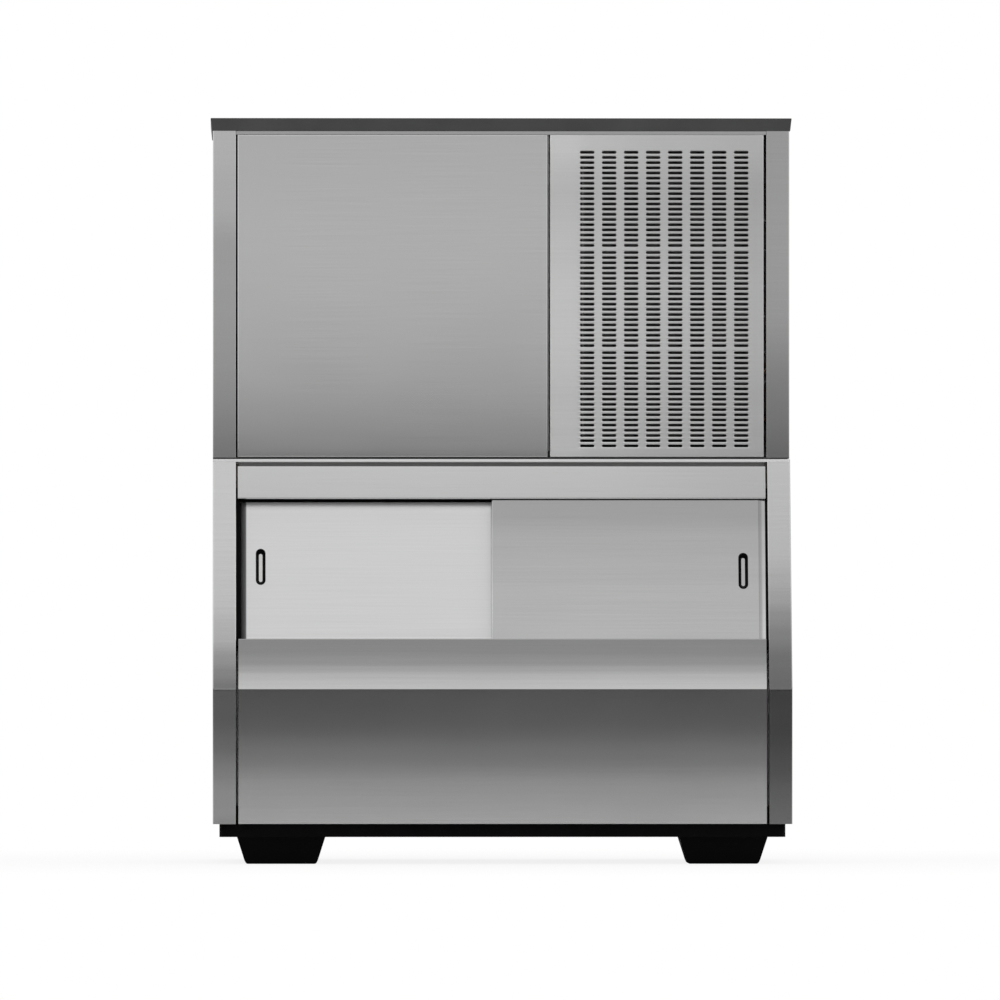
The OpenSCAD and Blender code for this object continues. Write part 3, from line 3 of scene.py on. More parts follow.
import bmesh
import bpy
import numpy as np
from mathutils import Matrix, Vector


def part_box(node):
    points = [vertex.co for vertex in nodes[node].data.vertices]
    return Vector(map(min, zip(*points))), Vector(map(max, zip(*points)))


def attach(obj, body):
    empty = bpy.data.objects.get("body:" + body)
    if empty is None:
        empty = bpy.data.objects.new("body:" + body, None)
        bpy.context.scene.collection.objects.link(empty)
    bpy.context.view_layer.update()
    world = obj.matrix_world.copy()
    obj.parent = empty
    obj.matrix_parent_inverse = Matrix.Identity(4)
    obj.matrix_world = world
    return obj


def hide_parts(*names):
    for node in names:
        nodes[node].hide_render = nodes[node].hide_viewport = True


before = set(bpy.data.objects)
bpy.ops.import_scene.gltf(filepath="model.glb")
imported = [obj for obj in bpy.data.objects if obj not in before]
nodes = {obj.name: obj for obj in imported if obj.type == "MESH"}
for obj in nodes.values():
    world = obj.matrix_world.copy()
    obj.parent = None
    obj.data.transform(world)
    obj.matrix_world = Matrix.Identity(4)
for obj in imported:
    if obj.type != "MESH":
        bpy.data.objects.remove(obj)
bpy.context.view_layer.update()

MM = 0.001

# Places that the whole scene is set out from, read from the CAD nodes
HEAD_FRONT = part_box("front_panel")[0].y
BIN_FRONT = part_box("lower_front")[0].y

# The height of the floor
FLOOR = 0.0

# The slope of the bin's front: the height of its crease, its rise and how far it leans back
CREASE = 0.368
SLOPE_RISE = 0.486
SLOPE_RUN = 0.134
SLOPE_TILT = math.atan2(SLOPE_RUN, SLOPE_RISE)

# Folded sheet, and how far out the face of a corner post reaches
SHEET = 1.5 * MM
BEND = 2.6 * MM
POST_FACE = 0.6095


# Materials

def new_material(name):
    """An empty node material: its tree, and the Principled shader that its patterns feed."""
    material = bpy.data.materials.new(name)
    material.use_nodes = True
    tree = material.node_tree
    return material, tree, tree.nodes["Principled BSDF"]


def empty_tree(owner):
    """The node tree of a material or a world, with nothing in it."""
    owner.use_nodes = True
    owner.node_tree.nodes.clear()
    return owner.node_tree


def node(tree, kind, **values):
    """A new node with some properties and some unlinked inputs set by name."""
    made = tree.nodes.new(kind)
    for key, value in values.items():
        if hasattr(made, key):
            setattr(made, key, value)
        else:
            made.inputs[key.replace("_", " ").title()].default_value = value
    return made


def join(tree, source, target):
    """Links an output socket to an input socket."""
    tree.links.new(source, target)


def maths(tree, operation, *values):
    """What a Math node works out from one or two sockets."""
    made = node(tree, "ShaderNodeMath", operation=operation)
    for place, value in enumerate(values):
        join(tree, value, made.inputs[place])
    return made.outputs[0]


def axes(tree):
    """The Object coordinates as three sockets, found by the letters X, Y and Z."""
    place = node(tree, "ShaderNodeTexCoord")
    split = node(tree, "ShaderNodeSeparateXYZ")
    join(tree, place.outputs["Object"], split.inputs[0])
    return split.outputs


def stretched_noise(tree, scale, detail, stretch=(1, 1, 1), offset=(0, 0, 0)):
    """Noise on Object coordinates, with each axis stretched by its own factor."""
    place = node(tree, "ShaderNodeTexCoord")
    mapping = node(tree, "ShaderNodeMapping")
    mapping.inputs["Scale"].default_value = stretch
    mapping.inputs["Location"].default_value = offset
    noise = node(tree, "ShaderNodeTexNoise", scale=scale, detail=detail)
    join(tree, place.outputs["Object"], mapping.inputs["Vector"])
    join(tree, mapping.outputs["Vector"], noise.inputs["Vector"])
    return noise.outputs["Fac"]


def remap(tree, value, low, high, from_low=0.3, from_high=0.7):
    """A value between from_low and from_high, where most of a noise lies, taken to low to high."""
    made = node(tree, "ShaderNodeMapRange")
    made.inputs["From Min"].default_value = from_low
    made.inputs["From Max"].default_value = from_high
    made.inputs["To Min"].default_value = low
    made.inputs["To Max"].default_value = high
    join(tree, value, made.inputs["Value"])
    return made.outputs["Result"]


def shades(tree, value, dark, light):
    """A colour that goes from dark to light with a 0 to 1 value."""
    made = node(tree, "ShaderNodeMix", data_type="RGBA")
    made.inputs["A"].default_value = (*dark, 1)
    made.inputs["B"].default_value = (*light, 1)
    join(tree, value, made.inputs["Factor"])
    return made.outputs["Result"]


def grey(value):
    """A colour with its red, green and blue all the same."""
    return (value, value, value)


def varied(tree, pattern, colour, spread):
    """A colour that a pattern takes darker and lighter, by a share of the colour each way."""
    dark = tuple(c * (1 - spread) for c in colour)
    light = tuple(min(1.0, c * (1 + spread)) for c in colour)
    return shades(tree, remap(tree, pattern, 0.0, 1.0), dark, light)


def graded(tree, value, stops):
    """A grey that goes smoothly through stops, each a place along the value with its tone."""
    low, high = stops[0][0], stops[-1][0]
    ramp = node(tree, "ShaderNodeValToRGB")
    ramp.color_ramp.interpolation = "EASE"
    marks = ramp.color_ramp.elements
    while len(marks) < len(stops):
        marks.new(1.0)
    for mark, (at, tone) in zip(marks, stops):
        mark.position = (at - low) / (high - low)
        mark.color = (*grey(tone), 1)
    join(tree, remap(tree, value, 0.0, 1.0, low, high), ramp.inputs["Fac"])
    return ramp.outputs["Color"]


def painted_shading(tree, colour, fall, axis="Z", within=None):
    """Painted shade and painted reflection bands: a colour times a share that changes along an axis, by a
    few stops.

    Where within is given, all places further out along X have one steady share, the painted shade of the
    side panels."""
    places = axes(tree)
    share = graded(tree, places[axis], fall)
    if within:
        outward = maths(tree, "ABSOLUTE", places["X"])
        outside = node(tree, "ShaderNodeMix", data_type="RGBA")
        outside.inputs["B"].default_value = (*grey(SIDE_PAINTED_SHADE), 1)
        join(tree, remap(tree, outward, 0.0, 1.0, within - BEND / 2, within), outside.inputs["Factor"])
        join(tree, share, outside.inputs["A"])
        share = outside.outputs["Result"]
    product = node(tree, "ShaderNodeMix", data_type="RGBA", blend_type="MULTIPLY")
    product.inputs["Factor"].default_value = 1.0
    join(tree, colour, product.inputs["A"])
    join(tree, share, product.inputs["B"])
    return product.outputs["Result"]


def roughened(tree, shader, pattern, roughness, spread):
    """Gives a shader a roughness that a pattern takes from one end of a spread to the other."""
    less, more = spread
    join(tree, remap(tree, pattern, roughness + less, roughness + more), shader.inputs["Roughness"])


def bumped(tree, shader, height, distance):
    """Gives a shader the slopes of a height pattern, which goes up by a distance from 0 to 1."""
    bump = node(tree, "ShaderNodeBump", distance=distance)
    join(tree, height, bump.inputs["Height"])
    join(tree, bump.outputs["Normal"], shader.inputs["Normal"])


# The share of its brightness that a side panel has round the corner from its post: a steady painted shade in
# place of the post's painted reflection bands
SIDE_PAINTED_SHADE = 0.8

# Brushed steel: how much denser its lines are across the grain, their contrast, and the height of
# the waves of its sheet
GRAIN = (1, 1, 220)
LINE_SPREAD = 0.03
WAVE = 0.6 * MM

# Plain metal: the scale and the contrast of its stains
STAIN_SCALE = 14.0
STAIN_SPREAD = 0.1

# How far the roughness of each kind of finish goes below and above its own value
STEEL_SPREAD = (-0.02, 0.03)
PLASTIC_SPREAD = (-0.05, 0.07)
METAL_SPREAD = (-0.06, 0.1)


def brushed_steel(name, brightness, roughness=0.16, metallic=1.0, offset=0.0, fall=(), side=(), within=None):
    """Brushed stainless steel: fine lines across the grain, and the slow waves of thin sheet.

    fall lists heights, in metres, with the share of the brightness that the sheet has there, and side does
    so for places along X: painted reflection bands and painted shade. Between them the share goes smoothly.
    Places further out than within are left out of fall."""
    material, tree, shader = new_material(name)
    shader.inputs["Metallic"].default_value = metallic
    lines = stretched_noise(tree, 4.0, 3.0, GRAIN)
    cloud = stretched_noise(tree, 2.2, 2.0, (1, 1, 1.4), (offset, 0, 0))
    colour = varied(tree, lines, grey(brightness), LINE_SPREAD)
    if fall:
        colour = painted_shading(tree, colour, fall, within=within)
    if side:
        colour = painted_shading(tree, colour, side, "X")
    join(tree, colour, shader.inputs["Base Color"])
    roughened(tree, shader, cloud, roughness, STEEL_SPREAD)
    bumped(tree, shader, cloud, WAVE)
    return material


def moulded(name, colour, roughness=0.5, grain=260.0, depth=0.04 * MM, spread=0.12, gloss=0.5, fade=()):
    """Moulded plastic or rubber: one colour with faint mottling and a fine leathery grain.

    fade lists places along Y with the share of the colour that is left there: a painted shade."""
    material, tree, shader = new_material(name)
    shader.inputs["Specular IOR Level"].default_value = gloss
    mottle = stretched_noise(tree, 9.0, 3.0)
    mixed = varied(tree, mottle, colour, spread)
    if fade:
        mixed = painted_shading(tree, mixed, fade, "Y")
    join(tree, mixed, shader.inputs["Base Color"])
    roughened(tree, shader, mottle, roughness, PLASTIC_SPREAD)
    bumped(tree, shader, stretched_noise(tree, grain, 2.0), depth)
    return material


def cast_metal(name, colour, roughness=0.3, fall=(), axis="Z"):
    """Plain metal: copper, brass, nickel or aluminium, with faint stains.

    fall lists places along an axis with the share of the colour that is left there: a painted shade."""
    material, tree, shader = new_material(name)
    shader.inputs["Metallic"].default_value = 1.0
    stain = stretched_noise(tree, STAIN_SCALE, 4.0)
    mixed = varied(tree, stain, colour, STAIN_SPREAD)
    if fall:
        mixed = painted_shading(tree, mixed, fall, axis)
    join(tree, mixed, shader.inputs["Base Color"])
    roughened(tree, shader, stain, roughness, METAL_SPREAD)
    return material


def spangled_zinc(name):
    """Zinc-coated sheet: flat crystals a few millimetres across, each with its own tone and gloss."""
    material, tree, shader = new_material(name)
    shader.inputs["Metallic"].default_value = 0.85
    place = node(tree, "ShaderNodeTexCoord")
    crystals = node(tree, "ShaderNodeTexVoronoi", scale=95.0)
    join(tree, place.outputs["Object"], crystals.inputs["Vector"])
    tone = node(tree, "ShaderNodeSeparateColor")
    join(tree, crystals.outputs["Color"], tone.inputs["Color"])
    join(tree, shades(tree, tone.outputs["Red"], grey(0.5), grey(0.62)), shader.inputs["Base Color"])
    join(tree, remap(tree, tone.outputs["Green"], 0.32, 0.46, 0.0, 1.0), shader.inputs["Roughness"])
    return material


# Every finish by its name. In fall, side and fade, each pair is a place in metres and a share. The steel
# finishes are one brushed steel with its own brightness for each part, lighter or darker by how light falls
# on that part: painted light and shade
FINISHES = {
    "panel_steel": brushed_steel("panel_steel", 0.66, offset=1.7),
    # Louvred panel: painted reflection bands up its face, and painted shade towards its right end
    "louvre_steel": brushed_steel("louvre_steel", 0.97, metallic=0.6, offset=3.1, fall=(
        (0.865, 0.84), (0.92, 0.76), (1.0, 0.71), (1.1, 0.73), (1.2, 0.71), (1.3, 0.66), (1.42, 0.61),
        (1.53, 0.71)), side=((0.14, 1.0), (0.2, 0.92), (0.35, 0.85), (0.57, 0.78))),
    # Bin posts: painted reflection bands up their faces, a painted shade just over the crease, and the right
    # post a darker, shaded copy of the left
    "post_steel_left": brushed_steel("post_steel_left", 0.79, offset=5.2, fall=(
        (0.085, 0.53), (0.11, 0.62), (0.155, 0.67), (0.2, 0.63), (0.25, 0.53), (0.3, 0.51), (0.345, 0.6),
        (0.366, 0.64), (0.37, 0.37), (0.4, 0.48), (0.43, 0.6), (0.48, 0.87), (0.56, 1.0), (0.66, 1.0),
        (0.85, 0.92)), within=POST_FACE),
    "post_steel_right": brushed_steel("post_steel_right", 0.68, offset=7.9, fall=(
        (0.085, 0.35), (0.15, 0.34), (0.2, 0.3), (0.27, 0.285), (0.345, 0.36), (0.366, 0.375),
        (0.37, 0.35), (0.43, 0.39), (0.48, 0.52), (0.52, 0.63), (0.56, 0.8), (0.6, 0.9), (0.66, 1.0),
        (0.85, 0.97)), within=POST_FACE),
    # Head posts: painted reflection bands up their faces, the right one a darker, shaded copy of the left
    "head_post_left": brushed_steel("head_post_left", 0.69, offset=11.2, fall=(
        (0.86, 0.74), (1.3, 0.74), (1.4, 0.9), (1.53, 1.0)), within=POST_FACE),
    "head_post_right": brushed_steel("head_post_right", 0.5, offset=13.9, fall=(
        (0.87, 0.8), (1.0, 0.78), (1.18, 0.98), (1.53, 1.0)), within=POST_FACE),
    # Top rail: darker than the panels, a painted shade under the lid's overhang
    "rail_steel": brushed_steel("rail_steel", 0.5, offset=2.0),
    # Header, band and lower panel: painted reflection bands, and on the band a painted shade towards its top
    # under the doors
    "header_steel": brushed_steel("header_steel", 0.68, offset=4.0, side=(
        (-0.2, 1.0), (0.15, 0.97), (0.55, 0.87))),
    "band_steel": brushed_steel("band_steel", 0.86, offset=6.0, fall=(
        (0.37, 1.0), (0.382, 0.95), (0.396, 0.87), (0.41, 0.7), (0.425, 0.56), (0.45, 0.48),
        (0.475, 0.46))),
    "lower_steel": brushed_steel("lower_steel", 0.614, offset=8.0, fall=(
        (0.09, 1.0), (0.16, 0.98), (0.23, 0.76), (0.295, 0.62), (0.365, 0.68))),
    # Left door: lighter along its top and bottom edges, painted light against the shade under the header and
    # over the sill, and a painted shade on its slanted edge
    "door_steel_left": brushed_steel("door_steel_left", 0.97, 0.3, 0.85, offset=9.0, fall=(
        (0.476, 0.96), (0.481, 0.89), (0.54, 0.86), (0.61, 0.84), (0.735, 0.81), (0.748, 0.89),
        (0.754, 1.0)), side=(
        (-0.5525, 0.2), (-0.548, 0.3), (-0.541, 0.2), (-0.538, 1.0))),
    # Bin lip: darker below its top edge, a painted shade under the head
    "lip_steel": brushed_steel("lip_steel", 0.72, 0.42, 0.35, offset=10.0, fall=(
        (0.846, 0.3), (0.8485, 1.0))),
    # Right door: darker towards its top, a painted reflection, and across its slanted edge a painted shade
    # line at the fold and a painted reflection beyond it
    "door_steel_right": brushed_steel("door_steel_right", 0.74, offset=0.6, fall=(
        (0.48, 1.0), (0.56, 0.93), (0.62, 0.85), (0.68, 0.78), (0.74, 0.65), (0.77, 0.64)), side=(
        (0.5405, 1.0), (0.5428, 0.6), (0.546, 0.64), (0.551, 0.92), (0.5575, 1.0))),
    "zinc": spangled_zinc("zinc"),
    "lid_paint": moulded("lid_paint", grey(0.041), 0.4, 500.0, 0.02 * MM),
    "black_plastic": moulded("black_plastic", grey(0.002), 0.55, gloss=0.05),
    "black_paint": moulded("black_paint", grey(0.01), 0.35, 500.0, 0.02 * MM),
    "rubber": moulded("rubber", grey(0.012), 0.7),
    "white_plastic": moulded("white_plastic", (0.8, 0.81, 0.82), 0.4, 200.0, 0.02 * MM, 0.03),
    "grey_plastic": moulded("grey_plastic", (0.09, 0.095, 0.1), 0.5),
    "hose": moulded("hose", (0.62, 0.66, 0.65), 0.35, 150.0, 0.02 * MM, 0.05),
    # Foam: darkened towards the front, a painted shade in the gaps between the panels
    "foam": moulded("foam", (0.78, 0.68, 0.42), 0.8, 320.0, 0.4 * MM, 0.1, fade=(
        (-0.35, 0.05), (-0.2, 1.0))),
    "nickel": cast_metal("nickel", (0.72, 0.71, 0.68), 0.22),
    "copper": cast_metal("copper", (0.72, 0.38, 0.24), 0.28),
    # Copper lines behind the gap by the right post: darkened towards the front, a painted shade
    "shaded_copper": cast_metal("shaded_copper", (0.72, 0.38, 0.24), 0.28, fall=(
        (-0.15, 0.02), (-0.11, 1.0)), axis="Y"),
    "brass": cast_metal("brass", (0.71, 0.54, 0.25), 0.3),
    "aluminium": cast_metal("aluminium", grey(0.68), 0.35),
    # Condenser: everything under the fins' bottom edge, the apron too, darkened to a tenth, a painted shade
    # behind the lowest slots
    "fin_aluminium": cast_metal("fin_aluminium", grey(0.42), 0.4, fall=((0.899, 0.1), (0.901, 1.0))),
}

# The finish of each CAD node
NODE_FINISH = {
    # head_base: dark paint, partly a colour such a base can have and partly a painted shade for the gap
    # under the head's front panels
    "head_base": "lid_paint", "head_left_side": "head_post_left", "head_right_side": "head_post_right",
    "head_back": "zinc", "lid": "lid_paint", "top_rail": "rail_steel", "front_panel": "panel_steel",
    "louvre_panel": "louvre_steel", "bulkhead": "zinc", "evaporator_grid": "nickel",
    "evaporator_coil": "copper", "evaporator_frame": "white_plastic", "water_curtain": "white_plastic",
    "water_trough": "white_plastic", "pump_housing": "grey_plastic", "pump_rotor": "white_plastic",
    "distribution_tube": "white_plastic", "water_hoses": "hose", "level_probe": "grey_plastic",
    "compressor": "black_paint", "compressor_mounts": "rubber", "condenser": "aluminium",
    "fan_shroud": "black_paint", "fan_motor": "grey_plastic", "fan_blade": "aluminium",
    "control_box": "zinc", "toggle_lever": "nickel", "filter_drier": "copper",
    "discharge_line": "shaded_copper", "liquid_line": "shaded_copper", "suction_line": "copper",
    "expansion_valve": "brass", "hot_gas_valve": "brass", "hot_gas_line": "copper",
    "water_inlet_valve": "white_plastic", "head_drain": "brass", "power_bushing": "black_plastic",
    "rear_screws": "nickel", "bin_left_side": "post_steel_left", "bin_right_side": "post_steel_right",
    "bin_back": "zinc", "lower_front": "lower_steel", "slope_band": "band_steel",
    "door_header": "header_steel", "top_frame": "lip_steel", "top_gasket": "rubber",
    "insulation": "foam", "bin_liner": "white_plastic", "upper_track": "black_plastic",
    "lower_track": "black_plastic", "left_door": "door_steel_left", "right_door": "door_steel_right",
    "left_pull": "black_plastic", "right_pull": "black_plastic", "door_glides_left": "white_plastic",
    "door_glides_right": "white_plastic", "door_jambs": "black_plastic", "bin_drain": "brass",
    "base": "black_plastic", "feet": "black_plastic",
}

for name, finish in NODE_FINISH.items():
    mesh = nodes[name].data
    mesh.materials.clear()
    mesh.materials.append(FINISHES[finish])

# Edges of the plain solids, softened as bent sheet and moulded plastic are, in millimetres, where
# they turn by more than the edge angle
EDGE_ANGLE = 28
SOFT_EDGES = {
    "lid": 1.2, "top_rail": 0.7, "top_frame": 0.7, "base": 2.0,
    "feet": 3.0, "upper_track": 0.4, "lower_track": 0.4, "control_box": 0.6,
    "rear_screws": 0.25, "evaporator_frame": 0.8, "water_trough": 0.8, "water_curtain": 0.5,
    "pump_housing": 0.8, "fan_shroud": 0.5, "fan_motor": 1.5, "compressor": 1.0, "hot_gas_valve": 0.8,
    "water_inlet_valve": 0.8, "head_drain": 0.5, "bin_drain": 0.5, "power_bushing": 0.5,
    "expansion_valve": 0.6, "level_probe": 0.5, "bin_back": 0.4, "head_back": 0.4,
}

for name, width in SOFT_EDGES.items():
    weld = nodes[name].modifiers.new("weld", "WELD")
    weld.merge_threshold = 0.01 * MM
    bevel = nodes[name].modifiers.new("soft_edges", "BEVEL")
    bevel.width = width * MM
    bevel.segments = 2
    bevel.limit_method = "ANGLE"
    bevel.angle_limit = math.radians(EDGE_ANGLE)
    bevel.harden_normals = True


# Pieces made of folded sheet, in the places of their CAD nodes

# Points along the arc of a fold, and round each end of a slot
FOLD_POINTS = 6
END_POINTS = 8


def linked(name, data):
    """A new object of the scene for a mesh, a lamp or a camera."""
    made = bpy.data.objects.new(name, data)
    bpy.context.scene.collection.objects.link(made)
    return made


def upright(y0):
    """Places on upright sheets, from X, depth behind the plane y0, and height."""
    return lambda x, depth, height: np.stack([x, y0 + depth, height], axis=-1)


def sloped(x, depth, rise):
    """Places on the slope, from X, depth in from its face, and distance up it from the crease."""
    y = BIN_FRONT + rise * math.sin(SLOPE_TILT) + depth * math.cos(SLOPE_TILT)
    z = CREASE + rise * math.cos(SLOPE_TILT) - depth * math.sin(SLOPE_TILT)
    return np.stack([x, y, z], axis=-1)


def piece(name, points, faces, body, finish, stands_for, sharp=35):
    """A closed mesh with its faces outward, smooth but for edges sharper than the given degrees.

    It rides on a body, has a material slot, and stands in the place of a CAD node."""
    mesh = bpy.data.meshes.new(name)
    mesh.from_pydata(np.asarray(points).reshape(-1, 3).tolist(), [], faces)
    edit = bmesh.new()
    edit.from_mesh(mesh)
    bmesh.ops.recalc_face_normals(edit, faces=edit.faces)
    edit.to_mesh(mesh)
    edit.free()
    mesh.materials.append(FINISHES[finish])
    mesh.shade_smooth()
    mesh.set_sharp_from_angle(angle=math.radians(sharp))
    made = linked(name, mesh)
    normals = made.modifiers.new("flat_faces", "WEIGHTED_NORMAL")
    normals.keep_sharp = True
    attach(made, body)
    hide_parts(stands_for)
    return made


def swept(loops):
    """A solid from closed loops, one at each station: quads between neighbours, and a cap at each end."""
    stations, count = loops.shape[:2]
    first = np.arange(stations - 1)[:, None] * count
    here = np.arange(count)[None, :]
    beside = (here + 1) % count
    ahead = first + count
    quads = np.stack([first + here, first + beside, ahead + beside, ahead + here], axis=-1)
    last = (stations - 1) * count
    caps = [list(range(count)), list(range(last, last + count))]
    return loops.reshape(-1, 3), quads.reshape(-1, 4).tolist() + caps


def folded(corners):
    """Closed outline of a sheet folded along a path of corners.

    At each inner corner the path turns through an arc. Its centre lies one bend radius inside both
    legs, so the arc starts BEND * tan(turn / 2) before the corner. The outline follows the outer side,
    then comes back on the inner side, whose arcs have the same centres and are one sheet smaller."""
    corners = np.asarray(corners, dtype=float)
    ways = np.diff(corners, axis=0)
    ways /= np.linalg.norm(ways, axis=1)[:, None]
    side = np.sign(ways[0, 0] * ways[1, 1] - ways[0, 1] * ways[1, 0])
    inward = side * np.stack([-ways[:, 1], ways[:, 0]], axis=1)
    outer, inner = [corners[0]], [corners[0] + inward[0] * SHEET]
    for i in range(1, len(corners) - 1):
        turn = math.acos(np.clip(ways[i - 1] @ ways[i], -1, 1))
        centre = corners[i] - ways[i - 1] * BEND * math.tan(turn / 2) + inward[i - 1] * BEND
        angles = np.linspace(0, turn, FOLD_POINTS)[:, None]
        spoke = ways[i - 1] * np.sin(angles) - inward[i - 1] * np.cos(angles)
        outer.extend(centre + BEND * spoke)
        inner.extend(centre + (BEND - SHEET) * spoke)
    outer.append(corners[-1])
    inner.append(corners[-1] + inward[-1] * SHEET)
    return np.array(outer + inner[::-1])


def strip(place, x0, x1, corners):
    """A folded strip: its outline in depth and height, carried along X."""
    outline = folded(corners)
    xs = np.array([x0, x1])[:, None] * np.ones(len(outline))
    depth = np.broadcast_to(outline[:, 0], xs.shape)
    height = np.broadcast_to(outline[:, 1], xs.shape)
    return swept(place(xs, depth, height))


def slot_rims(place, across, along, corners, behind, start, hole):
    """Points and faces of round-ended holes in grid cells, which are given by their four corners each.

    A hole is its length, its height and its roll. Each has three rings of points: on the face, larger
    by the roll; one roll behind it; and at the sheet's back. Four faces join each of the first and
    last rings to the cell's corners, whose numbers at the back are higher by behind. A quarter of an
    end's points goes to the faces above it, and a quarter to those below."""
    length, height, roll = hole
    n, q = END_POINTS, END_POINTS // 4
    end = np.linspace(math.pi / 2, 3 * math.pi / 2, n)
    circle = np.concatenate([end, end + math.pi])
    reach = np.repeat([-1, 1], n) * (length - height) / 2
    mid_u = across.ravel()[corners].mean(axis=1)[:, None]
    mid_v = along.ravel()[corners].mean(axis=1)[:, None]
    points, faces, rings = [], [], []
    for grow, back in ((roll, 0.0), (0.0, roll), (0.0, SHEET)):
        radius = height / 2 + grow
        ring_u = mid_u + reach + radius * np.cos(circle)
        ring_v = mid_v + radius * np.sin(circle)
        points.append(place(ring_u, np.full(ring_u.shape, back), ring_v).reshape(-1, 3))
        rings.append(start + np.arange(ring_u.size).reshape(ring_u.shape))
        start += ring_u.size
    for near, far in zip(rings[:-1], rings[1:]):
        quads = np.stack([near, np.roll(near, -1, axis=1), np.roll(far, -1, axis=1), far], axis=-1)
        faces += quads.reshape(-1, 4).tolist()
    for ring, square in ((rings[0], corners), (rings[-1], corners + behind)):
        a, b, c, d = (square[:, [k]] for k in range(4))
        faces += np.hstack([d, ring[:, q:n - q], a]).tolist()
        faces += np.hstack([a, ring[:, n - q - 1:n + q + 1], b]).tolist()
        faces += np.hstack([b, ring[:, n + q:2 * n - q], c]).tolist()
        faces += np.hstack([c, ring[:, 2 * n - q - 1:], ring[:, :q + 1], d]).tolist()
    return points, faces


def tray(place, us, vs, depth, open_cells=None, hole=None):
    """A tray of folded sheet, open at its back, from the grid lines of its flat face.

    From the edge of the face, rings of points turn through a quarter circle of the bend radius, run
    straight to the rim, and come back one sheet inside. A ring's points keep their place along the
    edge, and only those at an end move out with it. Each open cell has a hole."""
    across, along = np.meshgrid(us, vs, indexing="ij")
    flat = np.zeros(across.shape)
    points = [place(across, flat, along).reshape(-1, 3), place(across, flat + SHEET, along).reshape(-1, 3)]
    count = across.size
    index = np.arange(count).reshape(across.shape)
    cells = np.stack([index[:-1, :-1], index[1:, :-1], index[1:, 1:], index[:-1, 1:]], axis=-1)
    holed = np.zeros(cells.shape[:2], dtype=bool) if open_cells is None else open_cells
    plain = cells[~holed]
    faces = plain.tolist() + (plain + count).tolist()

    edge = np.concatenate([index[:-1, 0], index[-1, :-1], index[:0:-1, -1], index[0, :0:-1]])
    edge_u, edge_v = across.ravel()[edge], along.ravel()[edge]
    turns = np.linspace(0, math.pi / 2, FOLD_POINTS)[1:]
    small = BEND - SHEET
    rings = [(BEND * (1 - math.sin(a)), BEND * (1 - math.cos(a))) for a in turns]
    rings += [(0, depth), (SHEET, depth)]
    rings += [(BEND - small * math.sin(a), BEND - small * math.cos(a)) for a in turns[::-1]]
    rows = [edge]
    total = 2 * count
    for inset, back in rings:
        out = BEND - inset
        ring_u = edge_u - out * (edge_u == us[0]) + out * (edge_u == us[-1])
        ring_v = edge_v - out * (edge_v == vs[0]) + out * (edge_v == vs[-1])
        points.append(place(ring_u, np.full(len(edge), back), ring_v))
        rows.append(total + np.arange(len(edge)))
        total += len(edge)
    rows.append(edge + count)
    rows = np.array(rows)
    beside = np.roll(rows, -1, axis=1)
    faces += np.stack([rows[:-1], beside[:-1], beside[1:], rows[1:]], axis=-1).reshape(-1, 4).tolist()

    if holed.any():
        more_points, more_faces = slot_rims(place, across, along, cells[holed], count, total, hole)
        points += more_points
        faces += more_faces
    return np.vstack(points), faces


def grid_lines(low, high, cells):
    """The lines of even cells from one end to the other."""
    return np.linspace(low, high, cells + 1)


def box_mesh(low, high):
    """Points and faces of a box between two corners."""
    pick = np.array([[0, 0, 0], [1, 0, 0], [1, 1, 0], [0, 1, 0],
                     [0, 0, 1], [1, 0, 1], [1, 1, 1], [0, 1, 1]])
    points = np.array(low) + pick * (np.array(high) - np.array(low))
    return points, [[0, 1, 2, 3], [4, 5, 6, 7], [0, 1, 5, 4], [1, 2, 6, 5], [2, 3, 7, 6], [3, 0, 4, 7]]


def together(parts):
    """Several meshes as one."""
    points, faces, start = [], [], 0
    for part_points, part_faces in parts:
        part_points = np.asarray(part_points).reshape(-1, 3)
        points.append(part_points)
        faces += [[start + i for i in face] for face in part_faces]
        start += len(part_points)
    return np.vstack(points), faces


# How far the head's two panels reach into the gaps round the CAD sheets, up, down and to the left
REACH_UP = 1.2 * MM
REACH_DOWN = 1.5 * MM
LOUVRE_REACH_DOWN = 1.0 * MM
REACH_LEFT = 2.2 * MM

# The plain front panel of the head
PANEL_CELLS = 40

low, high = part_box("front_panel")
us = grid_lines(low.x - REACH_LEFT + BEND, high.x - BEND, PANEL_CELLS)
vs = grid_lines(low.z - REACH_DOWN + BEND, high.z + REACH_UP - BEND, PANEL_CELLS)
points, faces = tray(upright(low.y), us, vs, high.y - low.y)
piece("plain_panel", points, faces, "cabinet", "panel_steel", "front_panel")

# The louvred panel: eight columns of slots in three groups of rows
SLOT_LENGTH = 30.5 * MM
SLOT_HEIGHT = 5.8 * MM
SLOT_ROLL = 0.8 * MM
SLOT_COLUMNS = 8
SLOT_ROWS = 19
SLOT_GROUPS = 3
COLUMN_STEP = 46.6 * MM
ROW_STEP = 10.95 * MM
GROUP_STEP = 15.0 * MM
FIRST_COLUMN = 78.5 * MM
FIRST_ROW = 36.0 * MM

